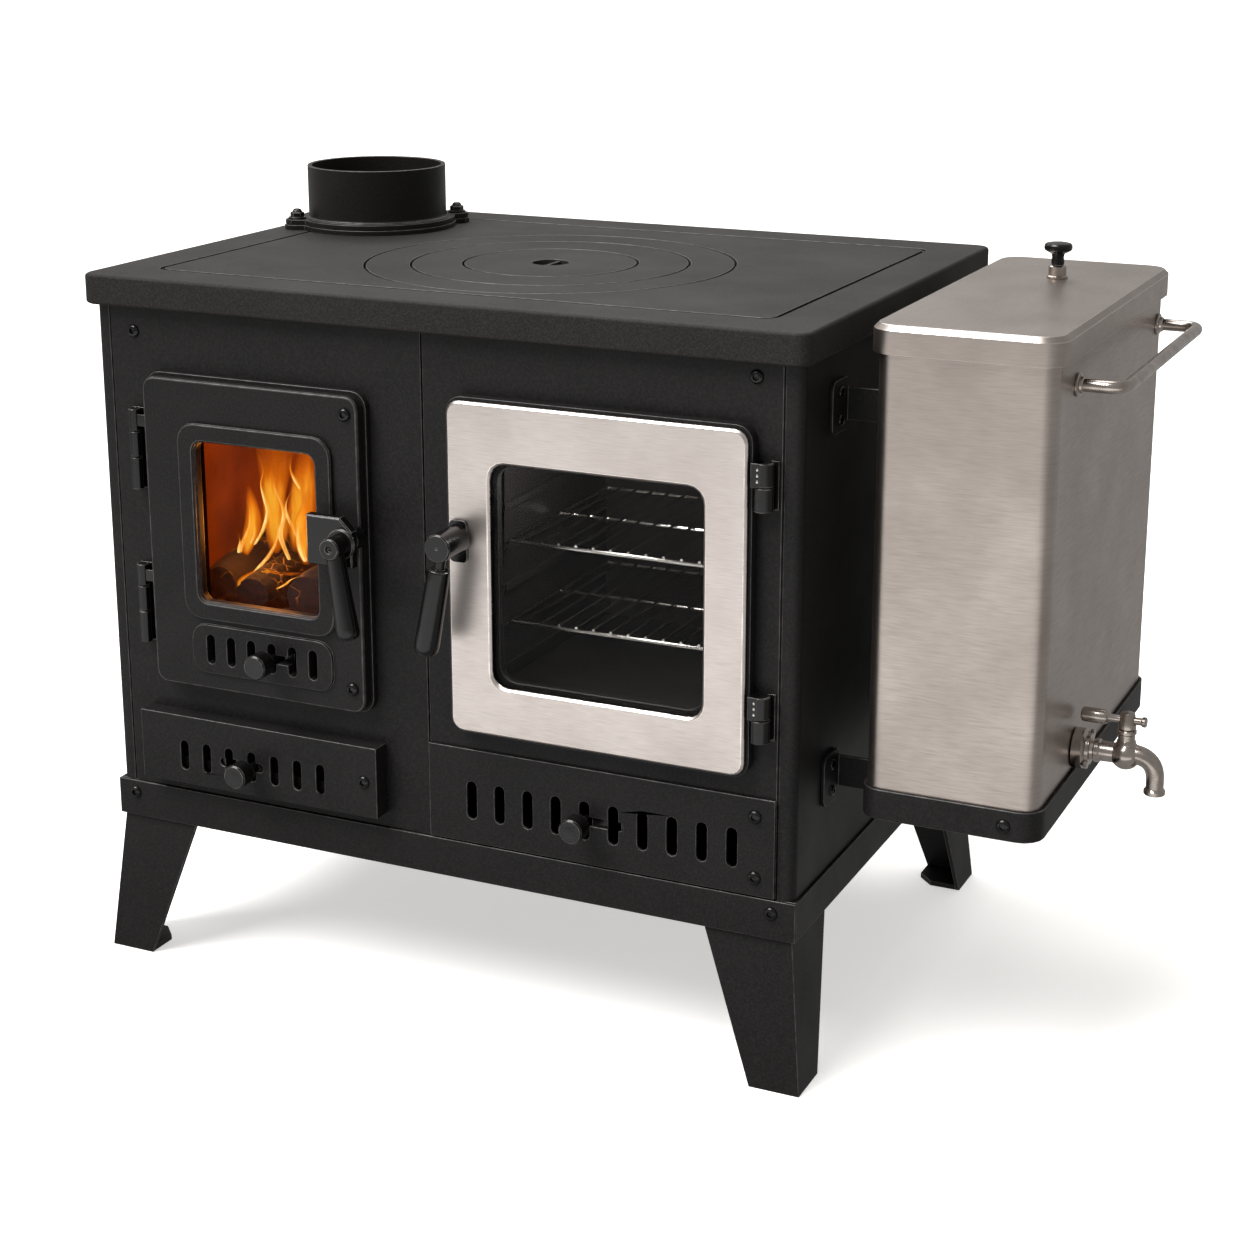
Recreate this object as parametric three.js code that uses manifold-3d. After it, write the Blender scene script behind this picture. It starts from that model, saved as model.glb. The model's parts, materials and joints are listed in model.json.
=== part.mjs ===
// Wood burning stove with a cooking top, an oven and a side water tank.
// Millimetres, +Z up, the fire door faces -Y.
// The origin is on the floor, under the middle of the stove's box.
import * as THREE from 'three';
import { mergeVertices } from 'three/addons/utils/BufferGeometryUtils.js';
import Module from 'manifold-3d';

const wasm = await Module();
wasm.setup();

// ---- Fits ----
const GAP = 0.3;                      // seat clearance between two pieces
const SEAM = 1.2;                     // visible seam between sheets
const BORE_CLEARANCE = 0.3;           // radial clearance round a pin, shaft or stem
const OVERLAP = 1;                    // how far two joined solids reach into each other
const PAST = 1;                       // how far a cutter runs past the face it opens

// ---- Body shell and plinth ----
const BODY_WIDTH = 636;
const BODY_DEPTH = 449;
const BODY_HEIGHT = 426;
const SHEET = 2.5;                    // body sheet thickness
const RETURN = 14;                    // side panel's folded edge, front and back
const PANEL_RADIUS = 8;               // fold radius at the body's corners
const DIVIDER_X = -4;                 // seam between the two front sheets
const FLOOR_THICKNESS = 3;
const PLINTH_HEIGHT = 33;
const PLINTH_LEDGE = 2.5;             // how far the plinth stands proud of the body
const PLINTH_SHEET = 3;
const PLINTH_FLANGE = 26;

// ---- Legs ----
const LEG_HEIGHT = 126;
const LEG_TOP_WIDTH = 75;
const LEG_FOOT_WIDTH = 43;
const LEG_SHEET = 4;
const LEG_SPLAY = 13;                 // outward lean of the foot
const PAD_THICKNESS = 5;
const PAD_CHAMFER = 14;

// ---- Cooking top ----
const PLATE_WIDTH = 650;
const PLATE_DEPTH = 470;
const PLATE_THICKNESS = 26;
const PLATE_DECK = 10;                // thickness of the cast deck inside the rim
const PLATE_RIM = 14;
const PLATE_RADIUS = 12;
const PLATE_EDGE = 3;                 // rounding of the plate's edges
const GROOVE_INSET = 44;
const GROOVE_WIDTH = 2;
const GROOVE_DEPTH = 1.2;
const RINGS_X = 7.5;
const RINGS_Y = -18;
const OUTER_RING_RADIUS = 159.5;
const MIDDLE_RING_RADIUS = 120;
const LID_RADIUS = 75.4;
const RING_CLEARANCE = 0.7;
const RING_STEP = 6;                  // width of the ledge that carries the next ring
const RING_LIP = 4.5;                 // thickness of the overlapping lip
const RING_THICKNESS = 9;
const LID_RECESS_RADIUS = 16;
const LID_RECESS_DEPTH = 5;
const LID_BAR = 5;
const LID_BAR_DROP = 1.2;             // bar's top below the lid's face

// ---- Flue collar ----
const FLUE_X = -243;
const FLUE_Y = 115;
const FLUE_RADIUS = 65;
const FLUE_WALL = 4;
const FLUE_HEIGHT = 58;
const FLANGE_RADIUS = 74;
const FLANGE_THICKNESS = 9;
const FLANGE_GROOVE = 1.2;            // line between the flange's two layers
const EAR_REACH = 77;                 // bolt centre from the flue's axis
const EAR_RADIUS = 12;
const EAR_ANGLE = 42;                 // direction of the two ears, degrees
const FLUE_BOLT_RADIUS = 3;

// ---- Doors, shared ----
const DOOR_HEIGHT = 268;              // visible face of both doors
const DOOR_LIP = 2.5;                 // how far the back frame shows round the face
const DOOR_RADIUS = 11;
const DOOR_TO_DRAWER = 28.5;          // from the ash drawer's top to the doors' faces
const GLASS_THICKNESS = 4;
const GLASS_LAP = 9;                  // how far a pane reaches behind its frame

// ---- Fire door ----
const FIRE_DOOR_X = -159;
const FIRE_DOOR_WIDTH = 208;
const FIRE_FRAME_THICKNESS = 6;
const FIRE_SLAB_THICKNESS = 9.5;
const WINDOW_SHIFT_X = 5.5;           // window centre from the door's centre
const WINDOW_SHIFT_Z = 14;
const WINDOW_WIDTH = 118;
const WINDOW_HEIGHT = 139;
const WINDOW_RADIUS = 9;
const BEZEL_BORDER = 15.5;
const BEZEL_THICKNESS = 4;
const BEZEL_EDGE = 1.4;
const VENT_PAD_WIDTH = 138.5;
const VENT_PAD_HEIGHT = 43;
const VENT_PAD_RADIUS = 14;
const VENT_PAD_RISE = 2.5;
const VENT_PAD_DROP = 111;            // pad centre below the window centre
const FIRE_OPENING_MARGIN = 16;       // door overlap round the opening behind it

// ---- Dampers ----
const DAMPER_SHEET = 2;
const KNOB_RADIUS = 10.5;
const KNOB_LENGTH = 18;
const KNOB_EDGE = 1.5;
const KNOB_STEM = 9;                  // free stem between plate and knob
const STEM_RADIUS = 3.5;
const STEM_TAB_RADIUS = 5.5;          // round of sheet that carries the stem
const FIRE_SLOTS = 6;
const FIRE_SLOT_PITCH = 20.2;
const FIRE_SLOT_WIDTH = 8;
const FIRE_SLOT_HEIGHT = 26;
const ASH_SLOTS = 7;
const ASH_SLOT_PITCH = 22.8;
const ASH_SLOT_WIDTH = 8;
const ASH_SLOT_HEIGHT = 26.5;
const OVEN_SLOTS = 10;
const OVEN_SLOT_PITCH = 25.6;
const OVEN_SLOT_WIDTH = 9;
const OVEN_SLOT_HEIGHT = 33;
const DAMPER_MARGIN = 8;              // sheet left beside the damper's windows
const DAMPER_BORDER = 5;              // sheet left above and below them
const ASH_SLOT_RISE = 26;             // slot centres above the drawer front's lower edge
const ASH_SLOT_SHIFT = -5.5;
const ASH_KNOB_RUN = 28;              // knob slot's reach past the stem
const OVEN_KNOB_RUN = 31;
const KNOB_SLOT_PLAY = 8;

// ---- Handles ----
const SHAFT_RADIUS = 4;
const SHAFT_SETBACK = 1;              // shaft's inner end inside the door's back
const FIRE_AXIS_X = -58.5;
const HANDLE_Z = 415;                 // fire door handle's axis above the floor
const LATCH_WIDTH = 42.5;
const LATCH_HEIGHT = 41.4;
const LATCH_THICKNESS = 10;
const LATCH_CHAMFER = 11;
const LATCH_EDGE = 1.2;
const LATCH_BOSS_RADIUS = 9.5;
const LATCH_BOSS_LENGTH = 11.5;
const FIRE_COLLAR_RADIUS = 12.5;
const FIRE_COLLAR_LENGTH = 4;
const FIRE_HUB_RADIUS = 9;
const FIRE_HUB_LENGTH = 17;
const FIRE_GRIP_LENGTH = 76;
const FIRE_GRIP_TOP = 7.5;
const FIRE_GRIP_END = 9.8;
const FIRE_GRIP_TILT = 8.5;            // lean to the right, degrees
const GRIP_EDGE = 1.2;
const GRIP_DOME = [0, 30, 60];        // directions of the rounded end's points, degrees
const GRIP_DOME_HEIGHT = 0.8;         // dome's height over its radius
const OVEN_AXIS_X = 37;
const OVEN_AXIS_RISE = 11;           // oven handle's axis above the fire door's
const HANDLE_PLATE_WIDTH = 15.5;
const HANDLE_PLATE_HEIGHT = 34.6;
const HANDLE_PLATE_THICKNESS = 3;
const HANDLE_PLATE_DROP = 2.5;        // plate centre below the handle's axis
const OVEN_HUB_RADIUS = 11.5;
const OVEN_HUB_LENGTH = 34.5;
const OVEN_NECK_RADIUS = 3.5;
const OVEN_NECK_LENGTH = 8;
const OVEN_GRIP_LENGTH = 74;
const OVEN_GRIP_TOP = 9;
const OVEN_GRIP_END = 10.2;
const OVEN_GRIP_TILT = -11;           // lean to the left, degrees

// ---- Hinges ----
const FIRE_BARREL_RADIUS = 5;
const FIRE_BARREL_HEIGHT = 70;
const FIRE_KNUCKLE_HEIGHT = 19;        // the door's share, at the top
const FIRE_HINGE_OFFSET = 15;         // axis from the slab's edge
const FIRE_HINGE_RISE = 68;           // hinge centres above and below the door's centre
const FIRE_HINGE_DROP = 68;
const OVEN_BARREL_RADIUS = 7.7;
const OVEN_BARREL_HEIGHT = 38;
const OVEN_HINGE_OFFSET = 10.6;
const OVEN_HINGE_RISE = 96.5;
const OVEN_HINGE_DROP = 86.5;
const PIN_RADIUS = 2.6;
const PIN_SETBACK = 1;                // pin's end inside the lift-off hinge's top
const LEAF_SHEET = 2;
const LEAF_WIDTH = 12;
const WING_THICKNESS = 4;
const KNUCKLE_GAP = 0.4;

// ---- Oven ----
const OVEN_X = 153;
const OVEN_DOOR_WIDTH = 255;
const OVEN_LINER_THICKNESS = 10.5;
const OVEN_TRIM_THICKNESS = 5;
const OVEN_TRIM_EDGE = 2;
const OVEN_DOOR_RISE = 6;              // how far its face stands above the fire door's
const OVEN_GLASS_WIDTH = 182;
const OVEN_GLASS_HEIGHT = 184;
const OVEN_GLASS_SHIFT = 1.5;          // window centre right of the door's centre
const OVEN_GLASS_RADIUS = 13;
const OVEN_LINER_STEP = 3;            // liner opening inside the trim opening
const OVEN_INNER_WIDTH = 226;
const OVEN_INNER_HEIGHT = 220;
const OVEN_INNER_DEPTH = 245;
const OVEN_SHEET = 2;
const OVEN_FLANGE = 10;
const RIB_COUNT = 6;
const RIB_PITCH = 34.5;
const RIB_FIRST = 8;                  // lowest rib's foot above the oven floor
const RIB_HEIGHT = 6;
const RIB_REACH = 4;
const RIB_START = 46;                 // rib's front end behind the front sheet
const RIB_POST = 4;                   // upright that ties the ribs' front ends
const RIB_POST_RISE = 0.6;            // how far the upright stands off the oven's wall
const RIB_END = 1.2;                  // rib's back end before the oven's back
const RACK_LEVELS = [2, 4];           // ribs that carry the two racks
const RACK_ROD = 2.3;
const RACK_WIRE = 1.4;
const RACK_WIRE_PITCH = 18;
const RACK_DEPTH = 190;
const RACK_MIDDLE = 97;
const RACK_SIDE_CLEARANCE = 1;
const RACK_END = 1.2;                 // bars' ends past the side rods

// ---- Lower vent panel ----
const VENT_PANEL_HEIGHT = 82;
const VENT_PANEL_SHEET = 3;
const VENT_PANEL_LIFT = 1.5;
const VENT_SLOT_SHIFT = 1.9;          // slots to the right of the panel's centre
const VENT_SLOT_RISE = 39;            // slot centres above the body's foot

// ---- Ash drawer and firebox ----
const ASH_FRONT_X = -164;
const ASH_FRONT_WIDTH = 236;
const ASH_FRONT_HEIGHT = 62;
const ASH_FRONT_DEPTH = 16.5;
const ASH_FRONT_LIFT = 13;            // above the body's foot
const TRAY_WIDTH = 212;
const TRAY_HEIGHT = 44;
const TRAY_DEPTH = 384;
const TRAY_SHEET = 1.5;
const TRAY_FRONT_HEIGHT = 16;
const TRAY_LIFT = 6.5;                // tray's floor above the front's lower edge
const TRAY_SIDE_CLEARANCE = 0.8;
const GUIDE_HEIGHT = 40;
const GUIDE_DEPTH = 380;
const GRATE_Z = 246;                  // underside of the firebox floor
const FIREBOX_SHEET = 4;
const PARTITION_X = -17.5;
const PARTITION_SHEET = 2.5;
const PARTITION_TOP = 508;
const GRATE_WIDTH = 214;
const GRATE_DEPTH = 316;
const GRATE_THICKNESS = 12;
const GRATE_LAP = 8;
const GRATE_SLOTS = 8;
const GRATE_SLOT = 12;
const GRATE_END = 18;
const GRATE_FRONT = 26;               // grate's front behind the front sheet
const BRICK_THICKNESS = 25;
const BRICK_HEIGHT = 232;
const BRICK_DEPTH = 360;
const BRICK_INSET = 11;                // air space beside the left brick

// ---- Water tank ----
const TANK_GAP = 34;                  // from the cooking top's edge to the tank
const TANK_WIDTH = 138;
const TANK_DEPTH = 352;
const TANK_Y = -11.6;
const TANK_WALL = 1.5;
const TANK_RADIUS = 15;
const TRAY_Z = 226;                   // underside of the tank's tray
const TANK_TRAY_HEIGHT = 24.5;
const TANK_TRAY_WALL = 2.5;
const TANK_TRAY_CLEARANCE = 0.5;
const TANK_TOP = 614;                 // top face of the lid
const TANK_LID_OVERHANG = 5;
const TANK_LID_SKIRT = 22;
const TANK_LID_WALL = 1.5;
const TANK_LID_EDGE = 4;
const LID_KNOB_SETBACK = 80;
const LID_KNOB_RADIUS = 11.5;
const LID_KNOB_HEIGHT = 29;
const LID_KNOB_CAP = 8;
const LID_KNOB_NECK = 5;
const LID_KNOB_STEM = 8;
const LID_KNOB_EDGE = 1.2;
const FERRULE_RADIUS = 7.2;
const FERRULE_HEIGHT = 10;
const BRACKET_SETBACK = 73.5;           // bracket's middle behind the stove's front
const BRACKET_WIDTH = 35;
const BRACKET_HEIGHT = 42;
const BRACKET_SHEET = 3;
const BRACKET_RADIUS = 7;
const ARM_HEIGHT = 26;
const UPPER_BRACKET_Z = 541;
const LOWER_BRACKET_Z = 238;
const UPPER_ARM_Z = 527;
const HANDLE_TUBE_RADIUS = 4.9;
const HANDLE_TUBE_Z = 569;
const HANDLE_TUBE_SPAN = 268;
const HANDLE_TUBE_Y = 5;
const HANDLE_TUBE_REACH = 35;
const HANDLE_TUBE_BEND = 16;
const ROSETTE_RADIUS = 9;
const ROSETTE_THICKNESS = 2;

// ---- Tap ----
const TAP_Y = -79;
const TAP_Z = 267.5;
const TAP_COLLAR_RADIUS = 16;
const TAP_COLLAR_LENGTH = 11;
const TAP_FLANGE_RADIUS = 12;
const TAP_FLANGE_LENGTH = 3;
const TAP_EAR_REACH = 14;
const TAP_EAR_RADIUS = 4.5;
const TAP_NOZZLE_RADIUS = 8.4;
const TAP_BALL_X = 41;                // ball centre from the tank's wall
const TAP_BALL_RADIUS = 12;
const TAP_NECK_RADIUS = 6;
const TAP_NECK_TOP = 21;
const TAP_CAP_RADIUS = 7;
const TAP_CAP_HEIGHT = 14;
const TAP_SPOUT_RADIUS = 7;
const TAP_SPOUT_REACH = 24;
const TAP_SPOUT_DROP = 29;
const TAP_SPOUT_BORE = 4.5;
const TAP_LIP_RADIUS = 8.4;
const TAP_LIP_HEIGHT = 4;
const LEVER_GRIP_RADIUS = 6;
const LEVER_GRIP_START = 15;
const LEVER_GRIP_LENGTH = 21;
const LEVER_NECK_RADIUS = 3;
const LEVER_TAIL = 15;
const LEVER_RISE = 28.5;
const LEVER_TAIL_RADIUS = 4.2;
const TAP_THREAD_RADIUS = 6;
const TAP_THREAD_LENGTH = 14;
const TAP_STEM_RADIUS = 3;
const TAP_SPOUT_BEND = 20;
const TAP_BORE_DEPTH = 14;
const TAP_SPOUT_RISE = 1.2;           // spout's axis above the ball's
const TAP_CAP_WALL = 1.2;

// ---- Facets ----
const ROUND = 32;                     // sides of a large round piece
const SMALL_ROUND = 12;
const HUB_SIDES = 20;
const KNOB_SIDES = 16;
const TAP_SIDES = 16;
const RACK_SIDES = 6;
const RACK_WIRE_SIDES = 4;
const TAP_SPOUT_SIDES = 5;            // a full circle takes twice this many
const TAP_SPOUT_STEPS = 9;
const HANDLE_TUBE_SIDES = 4;
const HANDLE_TUBE_STEPS = 40;
const CORNER_STEPS = 2;               // a quarter circle takes twice this many
const SLOT_STEPS = 1;
const EDGE_STEPS = 1;

// ---- Levels and planes worked out from the sizes above ----
const bodyZ = LEG_HEIGHT + PLINTH_HEIGHT;
const bodyTop = bodyZ + BODY_HEIGHT;
const plateZ = bodyTop + GAP;
const plateTop = plateZ + PLATE_THICKNESS;
const deckZ = plateTop - PLATE_DECK;
const halfWidth = BODY_WIDTH / 2;
const halfDepth = BODY_DEPTH / 2;
const frontY = -halfDepth;
const behindFront = frontY + SHEET + GAP;
const innerHalf = halfWidth - SHEET - GAP;
const floorTop = bodyZ + GAP + FLOOR_THICKNESS;
const ashBottom = bodyZ + ASH_FRONT_LIFT;
const ashTop = ashBottom + ASH_FRONT_HEIGHT;
const doorZ = ashTop + DOOR_TO_DRAWER + DOOR_HEIGHT / 2;
const doorBackY = frontY - GAP;
const clearFrontY = -PLATE_DEPTH;     // in front of every door and handle
const fireSlabY = doorBackY - FIRE_FRAME_THICKNESS - GAP;
const fireFaceY = fireSlabY - FIRE_SLAB_THICKNESS;
const windowX = FIRE_DOOR_X + WINDOW_SHIFT_X;
const windowZ = doorZ + WINDOW_SHIFT_Z;
const ventPadZ = windowZ - VENT_PAD_DROP;
const trimY = doorBackY - OVEN_LINER_THICKNESS - GAP;
const trimFaceY = trimY - OVEN_TRIM_THICKNESS;
const ovenAxisZ = HANDLE_Z + OVEN_AXIS_RISE;
const fireTravel = FIRE_SLOT_PITCH / 2;
const ovenTravel = OVEN_SLOT_PITCH / 2;
const fireKnobX = windowX + FIRE_SLOT_PITCH / 2;
const ashSlotX = ASH_FRONT_X + ASH_SLOT_SHIFT;
const ashSlotZ = ashBottom + ASH_SLOT_RISE;
const ventPanelX = (DIVIDER_X + halfWidth - RETURN - SEAM / 2) / 2;
const ventSlotX = ventPanelX + VENT_SLOT_SHIFT;
const ventSlotZ = bodyZ + VENT_SLOT_RISE;
const ovenKnobX = ventSlotX - OVEN_SLOT_PITCH / 2;
const ovenDamperWidth = damperWidth(OVEN_SLOTS, OVEN_SLOT_PITCH, OVEN_SLOT_WIDTH);
const ovenDamperHeight = OVEN_SLOT_HEIGHT + 2 * DAMPER_BORDER;
const fireDamperWidth = damperWidth(FIRE_SLOTS, FIRE_SLOT_PITCH, FIRE_SLOT_WIDTH);
const fireDamperHeight = FIRE_SLOT_HEIGHT + 2 * DAMPER_BORDER;
const tankX = PLATE_WIDTH / 2 + TANK_GAP + TANK_WIDTH / 2;
const tankWallX = tankX + TANK_WIDTH / 2;
const bracketY = frontY + BRACKET_SETBACK;

// ---- Solids: three.js shapes, cut and joined by manifold ----
function toSolid(geometry) {
  const bare = geometry.index ? geometry.toNonIndexed() : geometry.clone();
  bare.deleteAttribute('normal');
  bare.deleteAttribute('uv');
  const merged = mergeVertices(bare, 1e-4);
  const corners = merged.index.array;
  const faces = [];
  for (let i = 0; i < corners.length; i += 3) {
    const face = [corners[i], corners[i + 1], corners[i + 2]];
    if (new Set(face).size === 3) faces.push(...face);
  }
  return new wasm.Manifold(new wasm.Mesh({
    numProp: 3,
    vertProperties: new Float32Array(merged.attributes.position.array),
    triVerts: new Uint32Array(faces),
  }));
}

function toGeometry(solid) {
  const mesh = solid.getMesh();
  const geometry = new THREE.BufferGeometry();
  geometry.setAttribute('position', new THREE.BufferAttribute(mesh.vertProperties, mesh.numProp));
  geometry.setIndex(new THREE.BufferAttribute(mesh.triVerts, 1));
  return geometry;
}

function join(first, ...others) {
  return toGeometry(others.reduce((solid, other) => solid.add(toSolid(other)), toSolid(first)));
}

function cut(first, ...tools) {
  return toGeometry(tools.reduce((solid, tool) => solid.subtract(toSolid(tool)), toSolid(first)));
}

function block(x0, x1, y0, y1, z0, z1) {
  const geometry = new THREE.BoxGeometry();
  const place = geometry.attributes.position;
  for (let i = 0; i < place.count; i += 1) {
    const [x, y, z] = [place.getX(i), place.getY(i), place.getZ(i)];
    place.setXYZ(i, x < 0 ? x0 : x1, y < 0 ? y0 : y1, z < 0 ? z0 : z1);
  }
  return geometry;
}

function rod(radius, from, to, sides = SMALL_ROUND, endRadius = radius) {
  const start = new THREE.Vector3(...from);
  const axis = new THREE.Vector3(...to).sub(start);
  const geometry = new THREE.CylinderGeometry(endRadius, radius, axis.length(), sides);
  geometry.translate(0, axis.length() / 2, 0);
  const up = new THREE.Vector3(0, 1, 0);
  geometry.applyQuaternion(new THREE.Quaternion().setFromUnitVectors(up, axis.normalize()));
  return geometry.translate(start.x, start.y, start.z);
}

function lathe(points, sides = ROUND) {
  const profile = points.map(([radius, height]) => new THREE.Vector2(radius, height));
  const closed = points[0][0] === 0 ? profile : [...profile, profile[0]];
  return new THREE.LatheGeometry(closed, sides).rotateX(Math.PI / 2);
}

function roundedRect(target, cx, cy, width, height, radius) {
  const x = width / 2;
  const y = height / 2;
  const r = Math.min(radius, x - GAP, y - GAP);
  target.moveTo(cx - x + r, cy - y);
  target.lineTo(cx + x - r, cy - y);
  target.absarc(cx + x - r, cy - y + r, r, -Math.PI / 2, 0);
  target.lineTo(cx + x, cy + y - r);
  target.absarc(cx + x - r, cy + y - r, r, 0, Math.PI / 2);
  target.lineTo(cx - x + r, cy + y);
  target.absarc(cx - x + r, cy + y - r, r, Math.PI / 2, Math.PI);
  target.lineTo(cx - x, cy - y + r);
  target.absarc(cx - x + r, cy - y + r, r, Math.PI, Math.PI * 1.5);
  return target;
}

function rounded(cx, cy, width, height, radius) {
  return roundedRect(new THREE.Shape(), cx, cy, width, height, radius);
}

function roundedHole(cx, cy, width, height, radius) {
  return roundedRect(new THREE.Path(), cx, cy, width, height, radius);
}

function corners(cx, cy, width, height) {
  const x = width / 2;
  const y = height / 2;
  return [[-x, -y], [x, -y], [x, y], [-x, y]].map(([dx, dy]) => new THREE.Vector2(cx + dx, cy + dy));
}

function rect(cx, cy, width, height) {
  return new THREE.Shape(corners(cx, cy, width, height));
}

function rectHole(cx, cy, width, height) {
  return new THREE.Path(corners(cx, cy, width, height));
}

function polygon(points) {
  return new THREE.Shape(points.map(([x, y]) => new THREE.Vector2(x, y)));
}

function extrude(shape, thickness, edge = 0, curveSegments = CORNER_STEPS) {
  return new THREE.ExtrudeGeometry(shape, {
    depth: thickness - 2 * edge,
    bevelEnabled: edge > 0,
    bevelSize: edge,
    bevelThickness: edge,
    bevelOffset: -edge,
    bevelSegments: EDGE_STEPS,
    curveSegments,
  }).translate(0, 0, edge);
}

// A shape drawn in x and y, standing between two heights.
function slabZ(shape, z0, z1, edge = 0) {
  return extrude(shape, z1 - z0, edge).translate(0, 0, z0);
}

// A shape drawn in x and z, between two depths.
function slabY(shape, y0, y1, edge = 0, steps = CORNER_STEPS) {
  return extrude(shape, y1 - y0, edge, steps).rotateX(Math.PI / 2).translate(0, y1, 0);
}

// A shape drawn in y and z, between two places along x.
function slabX(shape, x0, x1, edge = 0) {
  return extrude(shape, x1 - x0, edge).rotateX(Math.PI / 2).rotateZ(Math.PI / 2).translate(x0, 0, 0);
}

function tube(points, radius, sides, steps, bend) {
  const path = new THREE.CurvePath();
  let start = new THREE.Vector3(...points[0]);
  for (let i = 1; i < points.length - 1; i += 1) {
    const corner = new THREE.Vector3(...points[i]);
    const next = new THREE.Vector3(...points[i + 1]);
    const before = corner.clone().add(start.clone().sub(corner).setLength(bend));
    const after = corner.clone().add(next.clone().sub(corner).setLength(bend));
    path.add(new THREE.LineCurve3(start, before));
    path.add(new THREE.QuadraticBezierCurve3(before, corner, after));
    start = after;
  }
  path.add(new THREE.LineCurve3(start, new THREE.Vector3(...points.at(-1))));
  const section = new THREE.Shape();
  section.absarc(0, 0, radius, 0, Math.PI * 2);
  return new THREE.ExtrudeGeometry(section, { steps, extrudePath: path, curveSegments: sides });
}

// ---- Finishes ----
const finishes = {
  paint: { color: 0x2b2a2b, roughness: 0.55, metalness: 0.3 },
  blackened: { color: 0x232121, roughness: 0.4, metalness: 0.5 },
  casting: { color: 0x4a4644, roughness: 0.7, metalness: 0.4 },
  steel: { color: 0xc9c2bc, roughness: 0.35, metalness: 0.9 },
  wire: { color: 0xb8b0a8, roughness: 0.3, metalness: 0.9 },
  enamel: { color: 0x1c1b1b, roughness: 0.5, metalness: 0.1 },
  galvanised: { color: 0x6d6a66, roughness: 0.6, metalness: 0.7 },
  brick: { color: 0xb79c7c, roughness: 0.95, metalness: 0 },
  glass: { color: 0x33302e, roughness: 0.1, metalness: 0, transparent: true, opacity: 0.4 },
  plastic: { color: 0x151414, roughness: 0.4, metalness: 0 },
};

const stove = new THREE.Group();

function add(name, finish, geometry) {
  const clean = toGeometry(toSolid(geometry)).toNonIndexed();
  clean.computeVertexNormals();
  const mesh = new THREE.Mesh(clean, new THREE.MeshStandardMaterial(finishes[finish]));
  mesh.name = name;
  stove.add(mesh);
}

// ---- Body shell ----
function sidePanel() {
  const x = halfWidth;
  const y = halfDepth;
  const r = PANEL_RADIUS;
  const inner = r - SHEET;
  const shape = new THREE.Shape();
  shape.moveTo(x - RETURN, -y);
  shape.lineTo(x - r, -y);
  shape.absarc(x - r, -y + r, r, -Math.PI / 2, 0);
  shape.lineTo(x, y - r);
  shape.absarc(x - r, y - r, r, 0, Math.PI / 2);
  shape.lineTo(x - RETURN, y);
  shape.lineTo(x - RETURN, y - SHEET);
  shape.absarc(x - r, y - r, inner, Math.PI / 2, 0, true);
  shape.absarc(x - r, -y + r, inner, 0, -Math.PI / 2, true);
  shape.lineTo(x - RETURN, -y + SHEET);
  return slabZ(shape, bodyZ + GAP, bodyTop);
}

function sheet(x0, x1, holes, y = frontY) {
  const low = bodyZ + GAP;
  const shape = rect((x0 + x1) / 2, (low + bodyTop) / 2, x1 - x0, bodyTop - low);
  shape.holes.push(...holes);
  return slabY(shape, y, y + SHEET);
}

function fireFrontSheet() {
  const width = FIRE_DOOR_WIDTH - 2 * FIRE_OPENING_MARGIN;
  const height = DOOR_HEIGHT - 2 * FIRE_OPENING_MARGIN;
  const door = roundedHole(FIRE_DOOR_X, doorZ, width, height, DOOR_RADIUS);
  const trayWidth = TRAY_WIDTH + 2 * (TRAY_SIDE_CLEARANCE + TRAY_SHEET + SEAM);
  const low = ashBottom + SHEET + GAP;
  const high = ashBottom + TRAY_LIFT + TRAY_HEIGHT + SHEET;
  const tray = rectHole(ASH_FRONT_X, (low + high) / 2, trayWidth, high - low);
  return sheet(-halfWidth + RETURN + SEAM, DIVIDER_X - SEAM / 2, [door, tray]);
}

function ovenFrontSheet() {
  const oven = roundedHole(OVEN_X, doorZ, OVEN_INNER_WIDTH, OVEN_INNER_HEIGHT, OVEN_GLASS_RADIUS);
  const width = ovenDamperWidth + 2 * (ovenTravel + SEAM);
  const air = rectHole(ventSlotX, ventSlotZ, width, ovenDamperHeight + 2 * GAP);
  return sheet(DIVIDER_X + SEAM / 2, halfWidth - RETURN - SEAM, [oven, air]);
}

function floorPanel() {
  const shape = rounded(0, 0, 2 * innerHalf, BODY_DEPTH - 2 * (SHEET + GAP), PANEL_RADIUS);
  return slabZ(shape, bodyZ + GAP, floorTop);
}

// ---- Plinth and legs ----
const plinthHalfX = halfWidth + PLINTH_LEDGE;
const plinthHalfY = halfDepth + PLINTH_LEDGE;

function plinthFront() {
  const reach = plinthHalfX - PLINTH_FLANGE - GAP;
  const y = -plinthHalfY;
  const web = block(-plinthHalfX, plinthHalfX, y, y + PLINTH_SHEET, LEG_HEIGHT, bodyZ);
  const flange = block(-reach, reach, y, y + PLINTH_FLANGE, bodyZ - PLINTH_SHEET, bodyZ);
  return join(web, flange);
}

function plinthSide(x0, x1, flangeX0, flangeX1) {
  const front = -plinthHalfY + PLINTH_SHEET + GAP;
  const web = block(x0, x1, front, plinthHalfY, LEG_HEIGHT, bodyZ);
  return join(web, block(flangeX0, flangeX1, front, plinthHalfY, bodyZ - PLINTH_SHEET, bodyZ));
}

function plinthFrame() {
  const x = plinthHalfX;
  const y = plinthHalfY;
  const right = plinthSide(x - PLINTH_SHEET, x, x - PLINTH_FLANGE, x);
  const left = plinthSide(-x, -x + PLINTH_SHEET, -x, -x + PLINTH_FLANGE);
  const web = block(-x, x, y - PLINTH_SHEET, y, LEG_HEIGHT, bodyZ);
  const flange = block(-x, x, y - PLINTH_FLANGE, y, bodyZ - PLINTH_SHEET, bodyZ);
  return join(right, left, web, flange);
}

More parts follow.
